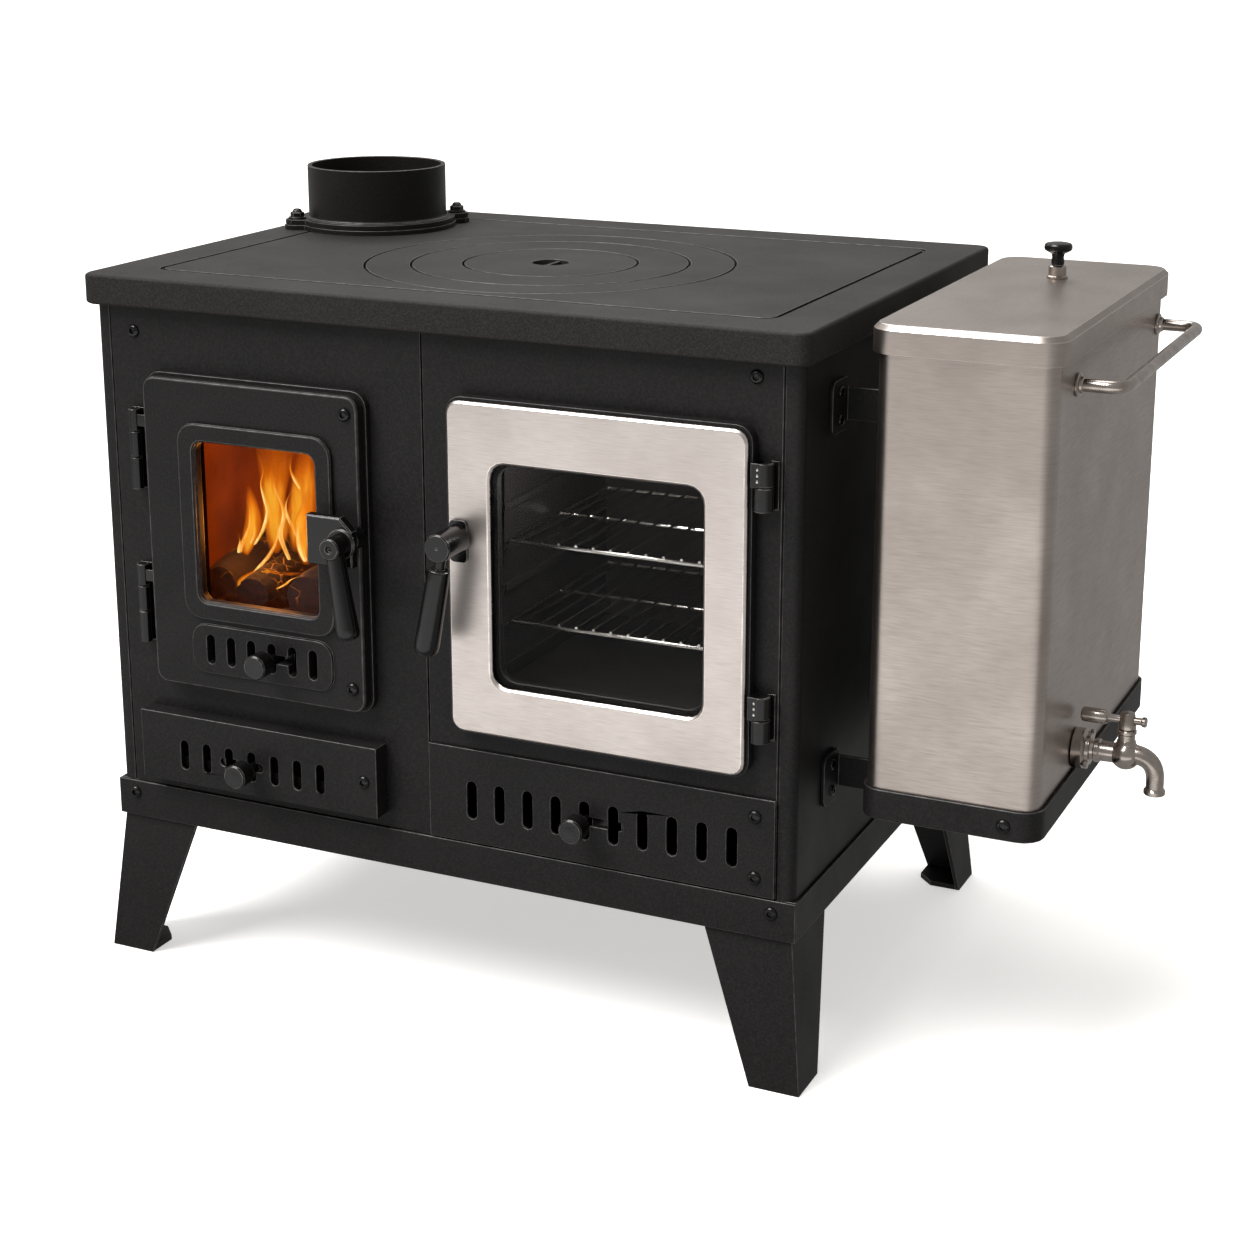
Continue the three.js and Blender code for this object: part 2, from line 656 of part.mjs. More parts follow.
// One face of a leg in the x-z plane: upright behind the plinth, then tapered and leaning out.
function legFace() {
  const top = bodyZ - PLINTH_SHEET - GAP;
  const upright = block(0, LEG_TOP_WIDTH, 0, LEG_SHEET, LEG_HEIGHT, top);
  const taper = polygon([
    [0, LEG_HEIGHT],
    [-LEG_SPLAY, 0],
    [LEG_FOOT_WIDTH - LEG_SPLAY, 0],
    [LEG_TOP_WIDTH, LEG_HEIGHT],
  ]);
  const lean = LEG_SPLAY / LEG_HEIGHT;
  const shear = new THREE.Matrix4().set(1, 0, 0, 0, 0, 1, lean, -LEG_SPLAY, 0, 0, 1, 0, 0, 0, 0, 1);
  return join(upright, slabY(taper, 0, LEG_SHEET).applyMatrix4(shear));
}

function leg() {
  const front = legFace();
  const swap = new THREE.Matrix4().set(0, 1, 0, 0, 1, 0, 0, 0, 0, 0, 1, 0, 0, 0, 0, 1);
  const side = flipFaces(legFace().applyMatrix4(swap));
  const inset = LEG_SHEET / 2 - LEG_SPLAY;
  const far = LEG_FOOT_WIDTH - LEG_SPLAY;
  const near = far - PAD_CHAMFER;
  const pad = polygon([[inset, inset], [far, inset], [far, near], [near, far], [inset, far]]);
  return join(front, side, slabZ(pad, 0, PAD_THICKNESS));
}

// A mirrored geometry has its faces turned in, so each face's corners are swapped back.
function flipFaces(geometry) {
  const index = geometry.index.array;
  for (let i = 0; i < index.length; i += 3) {
    [index[i], index[i + 1]] = [index[i + 1], index[i]];
  }
  return geometry;
}

// ---- Cooking top ----
function topPlate() {
  const plate = slabZ(rounded(0, 0, PLATE_WIDTH, PLATE_DEPTH, PLATE_RADIUS), plateZ, plateTop, PLATE_EDGE);
  const pocketX = PLATE_WIDTH / 2 - PLATE_RIM;
  const pocketY = PLATE_DEPTH / 2 - PLATE_RIM;
  const pocket = block(-pocketX, pocketX, -pocketY, pocketY, plateZ - PAST, deckZ);
  const inset = GROOVE_INSET + GROOVE_WIDTH;
  const groove = rounded(0, 0, PLATE_WIDTH - 2 * GROOVE_INSET, PLATE_DEPTH - 2 * GROOVE_INSET, PLATE_RADIUS);
  groove.holes.push(roundedHole(0, 0, PLATE_WIDTH - 2 * inset, PLATE_DEPTH - 2 * inset, PLATE_RADIUS));
  const scribe = slabZ(groove, plateTop - GROOVE_DEPTH, plateTop + PAST);
  const atRings = (z) => [RINGS_X, RINGS_Y, z];
  const atFlue = (z) => [FLUE_X, FLUE_Y, z];
  const lip = rod(OUTER_RING_RADIUS, atRings(plateTop - RING_LIP - GAP), atRings(plateTop + PAST), ROUND);
  const well = rod(OUTER_RING_RADIUS - RING_STEP, atRings(plateZ), atRings(plateTop), ROUND);
  const flue = rod(FLUE_RADIUS - FLUE_WALL, atFlue(plateZ), atFlue(plateTop + PAST), ROUND);
  const bolts = earCentres().map(([x, y]) => (
    rod(FLUE_BOLT_RADIUS + BORE_CLEARANCE, [x, y, plateZ], [x, y, plateTop + PAST])
  ));
  return cut(plate, pocket, scribe, lip, well, flue, ...bolts);
}

function ring(outer, inner) {
  const rim = outer - RING_CLEARANCE;
  const ledge = RING_LIP + GAP;
  const profile = [
    [inner, 0],
    [inner, -ledge],
    [inner - RING_STEP, -ledge],
    [inner - RING_STEP, -RING_THICKNESS],
    [rim - RING_STEP, -RING_THICKNESS],
    [rim - RING_STEP, -RING_LIP],
    [rim, -RING_LIP],
    [rim, 0],
  ];
  return lathe(profile).translate(RINGS_X, RINGS_Y, plateTop);
}

function centreLid() {
  const rim = LID_RADIUS - RING_CLEARANCE;
  const profile = [
    [0, -RING_THICKNESS],
    [rim - RING_STEP, -RING_THICKNESS],
    [rim - RING_STEP, -RING_LIP],
    [rim, -RING_LIP],
    [rim, 0],
    [LID_RECESS_RADIUS, 0],
    [LID_RECESS_RADIUS, -LID_RECESS_DEPTH],
    [0, -LID_RECESS_DEPTH],
  ];
  const reach = LID_RECESS_RADIUS + OVERLAP;
  const bar = block(-reach, reach, -LID_BAR / 2, LID_BAR / 2, -RING_LIP, -LID_BAR_DROP);
  return join(lathe(profile), bar).translate(RINGS_X, RINGS_Y, plateTop);
}

// ---- Flue collar ----
function earCentres() {
  const angle = THREE.MathUtils.degToRad(EAR_ANGLE);
  const x = EAR_REACH * Math.cos(angle);
  const y = EAR_REACH * Math.sin(angle);
  return [[FLUE_X - x, FLUE_Y - y], [FLUE_X + x, FLUE_Y + y]];
}

// A disc with two ears on the x axis, joined by tangents.
function earedShape(radius, reach, ear) {
  const turn = Math.acos((radius - ear) / reach);
  const shape = new THREE.Shape();
  shape.absarc(reach, 0, ear, -turn, turn);
  shape.absarc(0, 0, radius, turn, Math.PI - turn);
  shape.absarc(-reach, 0, ear, Math.PI - turn, Math.PI + turn);
  shape.absarc(0, 0, radius, Math.PI + turn, 2 * Math.PI - turn);
  return shape;
}

function flueCollar() {
  const angle = THREE.MathUtils.degToRad(EAR_ANGLE);
  const half = FLANGE_THICKNESS / 2;
  const full = earedShape(FLANGE_RADIUS, EAR_REACH, EAR_RADIUS);
  const waist = earedShape(FLANGE_RADIUS - FLANGE_GROOVE, EAR_REACH, EAR_RADIUS - FLANGE_GROOVE);
  const lower = slabZ(full, 0, half - FLANGE_GROOVE / 2);
  const middle = slabZ(waist, OVERLAP, FLANGE_THICKNESS - OVERLAP);
  const upper = slabZ(full, half + FLANGE_GROOVE / 2, FLANGE_THICKNESS);
  const flange = join(lower, middle, upper).rotateZ(angle);
  const pipe = rod(FLUE_RADIUS, [0, 0, 0], [0, 0, FLUE_HEIGHT], ROUND);
  const bore = rod(FLUE_RADIUS - FLUE_WALL, [0, 0, -PAST], [0, 0, FLUE_HEIGHT + PAST], ROUND);
  const blank = join(flange, pipe).translate(FLUE_X, FLUE_Y, plateTop + GAP);
  const holes = earCentres().map(([x, y]) => (
    rod(FLUE_BOLT_RADIUS + BORE_CLEARANCE, [x, y, plateTop], [x, y, plateTop + FLUE_HEIGHT])
  ));
  return cut(blank, bore.translate(FLUE_X, FLUE_Y, plateTop), ...holes);
}

// ---- Dampers: slotted sheets moved by a knob ----
function slotCentres(x, count, pitch) {
  return Array.from({ length: count }, (_, i) => x + (i - (count - 1) / 2) * pitch);
}

const FIRE_VENT = {
  count: FIRE_SLOTS,
  pitch: FIRE_SLOT_PITCH,
  width: FIRE_SLOT_WIDTH,
  height: FIRE_SLOT_HEIGHT,
};
const ASH_VENT = {
  count: ASH_SLOTS,
  pitch: ASH_SLOT_PITCH,
  width: ASH_SLOT_WIDTH,
  height: ASH_SLOT_HEIGHT,
};
const OVEN_VENT = {
  count: OVEN_SLOTS,
  pitch: OVEN_SLOT_PITCH,
  width: OVEN_SLOT_WIDTH,
  height: OVEN_SLOT_HEIGHT,
};

// A shape in x and z cut through everything in front of the body.
function through(shape) {
  return slabY(shape, clearFrontY, 0, 0, SLOT_STEPS);
}

function slotCutters(x, z, { count, pitch, width, height }) {
  return slotCentres(x, count, pitch).map((cx) => through(rounded(cx, z, width, height, width / 2)));
}

function knobSlot(x, z, before, after) {
  const low = x - before - STEM_RADIUS - BORE_CLEARANCE;
  const high = x + after + STEM_RADIUS + BORE_CLEARANCE;
  const width = 2 * (STEM_RADIUS + BORE_CLEARANCE);
  return through(rounded((low + high) / 2, z, high - low, width, width / 2));
}

function damperWidth(count, pitch, width) {
  return (count - 1) * pitch + width + 2 * DAMPER_MARGIN;
}

// The sheet's front face is at y, the knob's face stands clear of the panel's face.
function damper({ x, z, y, face, vent, sheetHeight, knobX }) {
  const { count, pitch, width, height } = vent;
  const shape = rect(x, z, damperWidth(count, pitch, width), sheetHeight);
  const windows = slotCentres(x, count, pitch).map((cx) => through(rect(cx, z, width, height - width / 2)));
  const plate = cut(slabY(shape, y, y + DAMPER_SHEET), ...windows);
  const tab = rod(STEM_TAB_RADIUS, [knobX, y, z], [knobX, y + DAMPER_SHEET, z]);
  const stem = rod(STEM_RADIUS, [knobX, y + DAMPER_SHEET / 2, z], [knobX, face - KNOB_STEM - OVERLAP, z]);
  return join(plate, tab, stem, knob(knobX, face - KNOB_STEM, z));
}

function knob(x, back, z) {
  const profile = [
    [0, 0],
    [KNOB_RADIUS - KNOB_EDGE, 0],
    [KNOB_RADIUS, KNOB_EDGE],
    [KNOB_RADIUS, KNOB_LENGTH - KNOB_EDGE],
    [KNOB_RADIUS - KNOB_EDGE, KNOB_LENGTH],
    [0, KNOB_LENGTH],
  ];
  return lathe(profile, KNOB_SIDES).rotateX(Math.PI / 2).translate(x, back, z);
}

// ---- Fire door ----
function shaftBore(x, z) {
  return rod(SHAFT_RADIUS + BORE_CLEARANCE, [x, clearFrontY, z], [x, 0, z]);
}

function fireDoorFrame() {
  const lip = 2 * DOOR_LIP;
  const shape = rounded(FIRE_DOOR_X, doorZ, FIRE_DOOR_WIDTH + lip, DOOR_HEIGHT + lip, DOOR_RADIUS + DOOR_LIP);
  const lap = 2 * (GLASS_LAP - DOOR_LIP);
  shape.holes.push(roundedHole(windowX, windowZ, WINDOW_WIDTH + lap, WINDOW_HEIGHT + lap, WINDOW_RADIUS));
  const airWidth = fireDamperWidth + 2 * fireTravel + SEAM;
  shape.holes.push(rectHole(windowX, ventPadZ, airWidth, fireDamperHeight + 2 * GAP));
  const frame = slabY(shape, doorBackY - FIRE_FRAME_THICKNESS, doorBackY);
  const seatWidth = WINDOW_WIDTH + 2 * (GLASS_LAP + GAP);
  const seatHeight = WINDOW_HEIGHT + 2 * (GLASS_LAP + GAP);
  const seatBack = doorBackY - FIRE_FRAME_THICKNESS + GLASS_THICKNESS + GAP;
  const seat = slabY(rect(windowX, windowZ, seatWidth, seatHeight), fireFaceY, seatBack);
  return cut(frame, seat, shaftBore(FIRE_AXIS_X, HANDLE_Z));
}

function fireDoorSlab() {
  const window = [windowX, windowZ, WINDOW_WIDTH, WINDOW_HEIGHT, WINDOW_RADIUS];
  const face = rounded(FIRE_DOOR_X, doorZ, FIRE_DOOR_WIDTH, DOOR_HEIGHT, DOOR_RADIUS);
  face.holes.push(roundedHole(...window));
  const pad = rounded(windowX, ventPadZ, VENT_PAD_WIDTH, VENT_PAD_HEIGHT, VENT_PAD_RADIUS);
  const slots = slotCutters(windowX, ventPadZ, FIRE_VENT);
  const slab = slabY(face, fireFaceY, fireSlabY, BEZEL_EDGE);
  const raised = slabY(pad, fireFaceY - VENT_PAD_RISE, fireFaceY + VENT_PAD_RISE);
  const run = knobSlot(fireKnobX, ventPadZ, 0, FIRE_SLOT_PITCH);
  return cut(join(slab, raised), ...slots, run, shaftBore(FIRE_AXIS_X, HANDLE_Z));
}

function fireBezel() {
  const width = WINDOW_WIDTH + 2 * BEZEL_BORDER;
  const height = WINDOW_HEIGHT + 2 * BEZEL_BORDER;
  const shape = rounded(windowX, windowZ, width, height, WINDOW_RADIUS + BEZEL_BORDER / 2);
  shape.holes.push(roundedHole(windowX, windowZ, WINDOW_WIDTH, WINDOW_HEIGHT, WINDOW_RADIUS));
  const back = fireFaceY - GAP;
  return slabY(shape, back - BEZEL_THICKNESS, back, BEZEL_EDGE);
}

function fireGlass() {
  const front = doorBackY - FIRE_FRAME_THICKNESS;
  const lap = 2 * GLASS_LAP;
  const pane = rect(windowX, windowZ, WINDOW_WIDTH + lap, WINDOW_HEIGHT + lap);
  return slabY(pane, front, front + GLASS_THICKNESS);
}

function fireDamper() {
  return damper({
    x: windowX,
    z: ventPadZ,
    y: doorBackY - FIRE_FRAME_THICKNESS,
    face: fireFaceY - VENT_PAD_RISE,
    vent: FIRE_VENT,
    sheetHeight: fireDamperHeight,
    knobX: fireKnobX,
  });
}

const latchBackY = fireFaceY - GAP - LATCH_BOSS_LENGTH;
const latchFaceY = latchBackY - LATCH_THICKNESS;

function latchBox() {
  const right = FIRE_AXIS_X + LATCH_BOSS_RADIUS - LATCH_EDGE;
  const left = right - LATCH_WIDTH;
  const top = HANDLE_Z + LATCH_HEIGHT / 2;
  const bottom = top - LATCH_HEIGHT;
  const outline = polygon([
    [left, bottom],
    [right, bottom],
    [right, top - LATCH_CHAMFER],
    [right - LATCH_CHAMFER, top],
    [left, top],
  ]);
  const plate = slabY(outline, latchFaceY, latchBackY, LATCH_EDGE);
  const at = (y) => [FIRE_AXIS_X, y, HANDLE_Z];
  const boss = rod(LATCH_BOSS_RADIUS, at(fireFaceY - GAP), at(latchBackY - OVERLAP), HUB_SIDES);
  return cut(join(plate, boss), shaftBore(FIRE_AXIS_X, HANDLE_Z));
}

// A grip that hangs down and leans sideways, with a rounded end.
function grip(length, top, end, tilt) {
  const dome = GRIP_DOME.map((degrees) => THREE.MathUtils.degToRad(degrees));
  const domeZ = (angle) => length - end * (1 - Math.sin(angle)) * GRIP_DOME_HEIGHT;
  const profile = [
    [0, 0],
    [top - GRIP_EDGE, 0],
    [top, GRIP_EDGE],
    ...dome.map((angle) => [end * Math.cos(angle), domeZ(angle)]),
    [0, length],
  ];
  return lathe(profile, SMALL_ROUND).rotateX(Math.PI).rotateY(THREE.MathUtils.degToRad(-tilt));
}

function fireHandle() {
  const at = (y) => [FIRE_AXIS_X, y, HANDLE_Z];
  const collarY = latchFaceY - GAP;
  const hubY = collarY - FIRE_COLLAR_LENGTH;
  const collar = rod(FIRE_COLLAR_RADIUS, at(collarY), at(hubY), HUB_SIDES);
  const hub = rod(FIRE_HUB_RADIUS, at(collarY - OVERLAP), at(hubY - FIRE_HUB_LENGTH), HUB_SIDES);
  const shaft = rod(SHAFT_RADIUS, at(doorBackY - SHAFT_SETBACK), at(hubY));
  const arm = grip(FIRE_GRIP_LENGTH, FIRE_GRIP_TOP, FIRE_GRIP_END, FIRE_GRIP_TILT);
  arm.translate(...at(hubY - FIRE_HUB_LENGTH / 2));
  return join(collar, hub, shaft, arm);
}

// ---- Hinges ----
function hingePin(x, y, low, high) {
  return rod(PIN_RADIUS, [x, y, low], [x, y, high]);
}

function pinBore(x, y, low, high) {
  return rod(PIN_RADIUS + BORE_CLEARANCE, [x, y, low - PAST], [x, y, high + PAST]);
}

function barrel(radius, x, y, low, high) {
  return rod(radius, [x, y, low], [x, y, high]);
}

const fireHingeX = FIRE_DOOR_X - FIRE_DOOR_WIDTH / 2 - FIRE_HINGE_OFFSET;
const fireHingeY = doorBackY - LEAF_SHEET - GAP - FIRE_BARREL_RADIUS;

// Lift-off hinge: the long lower barrel carries the pin and is welded to a leaf on the stove.
function fireHingeFixed(z) {
  const [x, y, r] = [fireHingeX, fireHingeY, FIRE_BARREL_RADIUS];
  const low = z - FIRE_BARREL_HEIGHT / 2;
  const high = z + FIRE_BARREL_HEIGHT / 2;
  const split = high - FIRE_KNUCKLE_HEIGHT - KNUCKLE_GAP;
  const web = block(x - PIN_RADIUS, x + PIN_RADIUS, y, doorBackY, low, split);
  const leaf = block(x - LEAF_WIDTH / 2, x + LEAF_WIDTH / 2, doorBackY - LEAF_SHEET, doorBackY, low, high);
  return join(leaf, web, barrel(r, x, y, low, split), hingePin(x, y, low, high - PIN_SETBACK));
}

function fireHingeKnuckle(z) {
  const [x, y, r] = [fireHingeX, fireHingeY, FIRE_BARREL_RADIUS];
  const high = z + FIRE_BARREL_HEIGHT / 2;
  const low = high - FIRE_KNUCKLE_HEIGHT;
  const edge = FIRE_DOOR_X - FIRE_DOOR_WIDTH / 2 - GAP;
  const wing = block(x, edge, y - WING_THICKNESS, y, low, high);
  return cut(join(barrel(r, x, y, low, high), wing), pinBore(x, y, low, high));
}

const ovenHingeX = OVEN_X + OVEN_DOOR_WIDTH / 2 + OVEN_HINGE_OFFSET;
const ovenHingeY = doorBackY - GAP - OVEN_BARREL_RADIUS;

// Lift-off hinge: the lower knuckle carries the pin and is screwed to the stove.
function ovenHingeFixed(z) {
  const [x, y, r] = [ovenHingeX, ovenHingeY, OVEN_BARREL_RADIUS];
  const low = z - OVEN_BARREL_HEIGHT / 2;
  const high = z + OVEN_BARREL_HEIGHT / 2;
  const web = block(x, x + r + LEAF_SHEET, doorBackY - 2 * LEAF_SHEET, doorBackY, low, z - KNUCKLE_GAP);
  const leaf = block(x + r - LEAF_SHEET, x + r + LEAF_SHEET, doorBackY - LEAF_SHEET, doorBackY, low, high);
  return join(barrel(r, x, y, low, z - KNUCKLE_GAP), web, leaf, hingePin(x, y, low, high - PIN_SETBACK));
}

function ovenHingeKnuckle(z) {
  const [x, y, r] = [ovenHingeX, ovenHingeY, OVEN_BARREL_RADIUS];
  const high = z + OVEN_BARREL_HEIGHT / 2;
  const edge = OVEN_X + OVEN_DOOR_WIDTH / 2 + DOOR_LIP + GAP;
  const wing = block(edge, x, y - r, y + LEAF_SHEET, z + KNUCKLE_GAP, high);
  return cut(join(barrel(r, x, y, z + KNUCKLE_GAP, high), wing), pinBore(x, y, z, high));
}

// ---- Oven door ----
const ovenGlassX = OVEN_X + OVEN_GLASS_SHIFT;

function ovenDoorFace(border, radius) {
  const z = doorZ + OVEN_DOOR_RISE / 2;
  return rounded(OVEN_X, z, OVEN_DOOR_WIDTH + border, DOOR_HEIGHT + OVEN_DOOR_RISE + border, radius);
}

function ovenDoorLiner() {
  const lip = 2 * DOOR_LIP;
  const shape = ovenDoorFace(lip, DOOR_RADIUS + DOOR_LIP);
  const width = OVEN_GLASS_WIDTH - 2 * OVEN_LINER_STEP;
  const height = OVEN_GLASS_HEIGHT - 2 * OVEN_LINER_STEP;
  shape.holes.push(roundedHole(ovenGlassX, doorZ, width, height, OVEN_GLASS_RADIUS));
  const front = doorBackY - OVEN_LINER_THICKNESS;
  const seatWidth = OVEN_GLASS_WIDTH + 2 * (GLASS_LAP + GAP);
  const seatHeight = OVEN_GLASS_HEIGHT + 2 * (GLASS_LAP + GAP);
  const seatShape = rect(ovenGlassX, doorZ, seatWidth, seatHeight);
  const seat = slabY(seatShape, trimFaceY, front + GLASS_THICKNESS + GAP);
  return cut(slabY(shape, front, doorBackY), seat, shaftBore(OVEN_AXIS_X, ovenAxisZ));
}

function ovenDoorTrim() {
  const shape = ovenDoorFace(0, DOOR_RADIUS);
  shape.holes.push(roundedHole(ovenGlassX, doorZ, OVEN_GLASS_WIDTH, OVEN_GLASS_HEIGHT, OVEN_GLASS_RADIUS));
  return cut(slabY(shape, trimFaceY, trimY, OVEN_TRIM_EDGE), shaftBore(OVEN_AXIS_X, ovenAxisZ));
}

function ovenGlass() {
  const front = doorBackY - OVEN_LINER_THICKNESS;
  const width = OVEN_GLASS_WIDTH + 2 * GLASS_LAP;
  const height = OVEN_GLASS_HEIGHT + 2 * GLASS_LAP;
  return slabY(rect(ovenGlassX, doorZ, width, height), front, front + GLASS_THICKNESS);
}

const handlePlateY = trimFaceY - GAP - HANDLE_PLATE_THICKNESS;

function ovenHandlePlate() {
  const z = ovenAxisZ - HANDLE_PLATE_DROP;
  const shape = rounded(OVEN_AXIS_X, z, HANDLE_PLATE_WIDTH, HANDLE_PLATE_HEIGHT, SHAFT_RADIUS);
  return cut(slabY(shape, handlePlateY, trimFaceY - GAP), shaftBore(OVEN_AXIS_X, ovenAxisZ));
}

function ovenHandle() {
  const at = (y) => [OVEN_AXIS_X, y, ovenAxisZ];
  const hubY = handlePlateY - GAP;
  const face = hubY - OVEN_HUB_LENGTH;
  const centreY = face + OVEN_GRIP_END + GAP;
  const hub = rod(OVEN_HUB_RADIUS, at(hubY), at(face), HUB_SIDES);
  const shaft = rod(SHAFT_RADIUS, at(doorBackY - SHAFT_SETBACK), at(hubY - OVERLAP));
  const tilt = THREE.MathUtils.degToRad(OVEN_GRIP_TILT);
  const down = (length) => [
    OVEN_AXIS_X + length * Math.sin(tilt),
    centreY,
    ovenAxisZ - length * Math.cos(tilt),
  ];
  const gripStart = OVEN_HUB_RADIUS + OVEN_NECK_LENGTH;
  const neck = rod(OVEN_NECK_RADIUS, at(centreY), down(gripStart + OVERLAP));
  const sleeve = grip(OVEN_GRIP_LENGTH, OVEN_GRIP_TOP, OVEN_GRIP_END, OVEN_GRIP_TILT);
  return join(hub, shaft, neck, sleeve.translate(...down(gripStart)));
}

// ---- Oven ----
const ovenFloorZ = doorZ - OVEN_INNER_HEIGHT / 2;
const ovenHalf = OVEN_INNER_WIDTH / 2;
const ovenBackY = behindFront + OVEN_INNER_DEPTH;

function ovenBox() {
  const high = ovenFloorZ + OVEN_INNER_HEIGHT;
  const t = OVEN_SHEET;
  const grown = (by, back) => (
    block(OVEN_X - ovenHalf - by, OVEN_X + ovenHalf + by, behindFront, back, ovenFloorZ - by, high + by)
  );
  const outer = grown(t, ovenBackY + t);
  const flange = grown(OVEN_FLANGE, behindFront + t);
  const inner = block(OVEN_X - ovenHalf, OVEN_X + ovenHalf, frontY, ovenBackY, ovenFloorZ, high);
  const shell = cut(join(outer, flange), inner);
  return join(shell, ...ovenSide(-1), ...ovenSide(1));
}

function ovenSide(side) {
  const wall = OVEN_X + side * (ovenHalf + OVEN_SHEET / 2);
  const reach = OVEN_X + side * (ovenHalf - RIB_REACH);
  const [x0, x1] = [Math.min(wall, reach), Math.max(wall, reach)];
  const start = behindFront + RIB_START;
  const ribs = Array.from({ length: RIB_COUNT }, (_, i) => {
    const foot = ovenFloorZ + RIB_FIRST + i * RIB_PITCH;
    return block(x0, x1, start, ovenBackY - RIB_END, foot, foot + RIB_HEIGHT);
  });
  const top = ovenFloorZ + RIB_FIRST + (RIB_COUNT - 1) * RIB_PITCH + RIB_HEIGHT;
  const postReach = OVEN_X + side * (ovenHalf - RIB_POST_RISE);
  const [p0, p1] = [Math.min(wall, postReach), Math.max(wall, postReach)];
  return [...ribs, block(p0, p1, start, start + RIB_POST, ovenFloorZ + RIB_FIRST, top)];
}

function ribTop(level) {
  return ovenFloorZ + RIB_FIRST + (level - 1) * RIB_PITCH + RIB_HEIGHT;
}

function ovenRack(level) {
  const z = ribTop(level) + GAP + RACK_ROD;
  const left = OVEN_X - ovenHalf + RACK_SIDE_CLEARANCE + RACK_ROD;
  const right = OVEN_X + ovenHalf - RACK_SIDE_CLEARANCE - RACK_ROD;
  const front = behindFront + RIB_START + RACK_ROD;
  const back = front + RACK_DEPTH;
  const bar = (y) => rod(RACK_ROD, [left - RACK_END, y, z], [right + RACK_END, y, z], RACK_SIDES);
  const side = (x) => rod(RACK_ROD, [x, front, z], [x, back, z], RACK_SIDES);
  const wires = Math.floor((right - left) / RACK_WIRE_PITCH);
  const pitch = (right - left) / wires;
  const wireZ = z + RACK_ROD - RACK_WIRE / 2;
  const rods = Array.from({ length: wires - 1 }, (_, i) => {
    const x = left + (i + 1) * pitch;
    const end = (y) => [x, y, wireZ];
    return rod(RACK_WIRE, end(front - RACK_WIRE / 2), end(back + RACK_WIRE / 2), RACK_WIRE_SIDES);
  });
  return join(bar(front), bar(front + RACK_MIDDLE), bar(back), side(left), side(right), ...rods);
}

function ventPanel() {
  const low = bodyZ + VENT_PANEL_LIFT;
  const x0 = DIVIDER_X + SEAM / 2;
  const x1 = 2 * ventPanelX - x0;
  const shape = rect(ventPanelX, low + VENT_PANEL_HEIGHT / 2, x1 - x0, VENT_PANEL_HEIGHT);
  const slots = slotCutters(ventSlotX, ventSlotZ, OVEN_VENT);
  const panel = slabY(shape, doorBackY - VENT_PANEL_SHEET, doorBackY);
  return cut(panel, ...slots, knobSlot(ovenKnobX, ventSlotZ, 0, OVEN_KNOB_RUN));
}

function ventDamper() {
  return damper({
    x: ventSlotX,
    z: ventSlotZ,
    y: frontY,
    face: doorBackY - VENT_PANEL_SHEET,
    vent: OVEN_VENT,
    sheetHeight: ovenDamperHeight,
    knobX: ovenKnobX,
  });
}

// ---- Ash drawer ----
const ashFaceY = doorBackY - ASH_FRONT_DEPTH;
const trayZ = ashBottom + TRAY_LIFT;

function ashFront() {
  const half = ASH_FRONT_WIDTH / 2;
  const outline = rect(ASH_FRONT_X, ashBottom + ASH_FRONT_HEIGHT / 2, ASH_FRONT_WIDTH, ASH_FRONT_HEIGHT);
  const blank = slabY(outline, ashFaceY, doorBackY);
  const [x0, x1] = [ASH_FRONT_X - half + SHEET, ASH_FRONT_X + half - SHEET];
  const hollow = block(x0, x1, ashFaceY + SHEET, 0, ashBottom + SHEET, ashTop - SHEET);
  const slots = slotCutters(ashSlotX, ashSlotZ, ASH_VENT);
  return cut(blank, hollow, ...slots, knobSlot(ashSlotX, ashSlotZ, ASH_KNOB_RUN, KNOB_SLOT_PLAY));
}

function ashDamper() {
  return damper({
    x: ashSlotX,
    z: ashSlotZ,
    y: ashFaceY + SHEET + GAP,
    face: ashFaceY,
    vent: ASH_VENT,
    sheetHeight: 2 * (ASH_SLOT_RISE - SHEET - GAP),
    knobX: ashSlotX,
  });
}

function ashTray() {
  const half = TRAY_WIDTH / 2;
  const t = TRAY_SHEET;
  const front = ashFaceY + SHEET + 2 * GAP + DAMPER_SHEET + GAP;
  const back = front + TRAY_DEPTH;
  const [x0, x1] = [ASH_FRONT_X - half, ASH_FRONT_X + half];
  const top = trayZ + TRAY_HEIGHT;
  const box = block(x0, x1, front, back, trayZ, top);
  const inner = block(x0 + t, x1 - t, front + t, back - t, trayZ + t, top + PAST);
  const mouth = block(x0 + t, x1 - t, front - PAST, front + t + PAST, trayZ + TRAY_FRONT_HEIGHT, top + PAST);
  const tabFront = ashFaceY + SHEET + GAP;
  const tabs = [[x0, x0 + t], [x1 - t, x1]].map(([a, b]) => (
    block(a, b, tabFront, front + OVERLAP, trayZ, top)
  ));
  return join(cut(box, inner, mouth), ...tabs);
}

// Two upright sides tied by a shelf that the tray slides on.
function ashGuide() {
  const half = TRAY_WIDTH / 2 + TRAY_SIDE_CLEARANCE;
  const t = TRAY_SHEET;
  const low = floorTop + GAP;
  const back = behindFront + GUIDE_DEPTH;
  const sides = [-1, 1].map((side) => {
    const inner = ASH_FRONT_X + side * half;
    const outer = ASH_FRONT_X + side * (half + t);
    return block(Math.min(inner, outer), Math.max(inner, outer), behindFront, back, low, low + GUIDE_HEIGHT);
  });
  const reach = half + OVERLAP;
  const shelfTop = trayZ - GAP;
  const shelf = block(ASH_FRONT_X - reach, ASH_FRONT_X + reach, behindFront, back, shelfTop - t, shelfTop);
  return join(...sides, shelf);
}

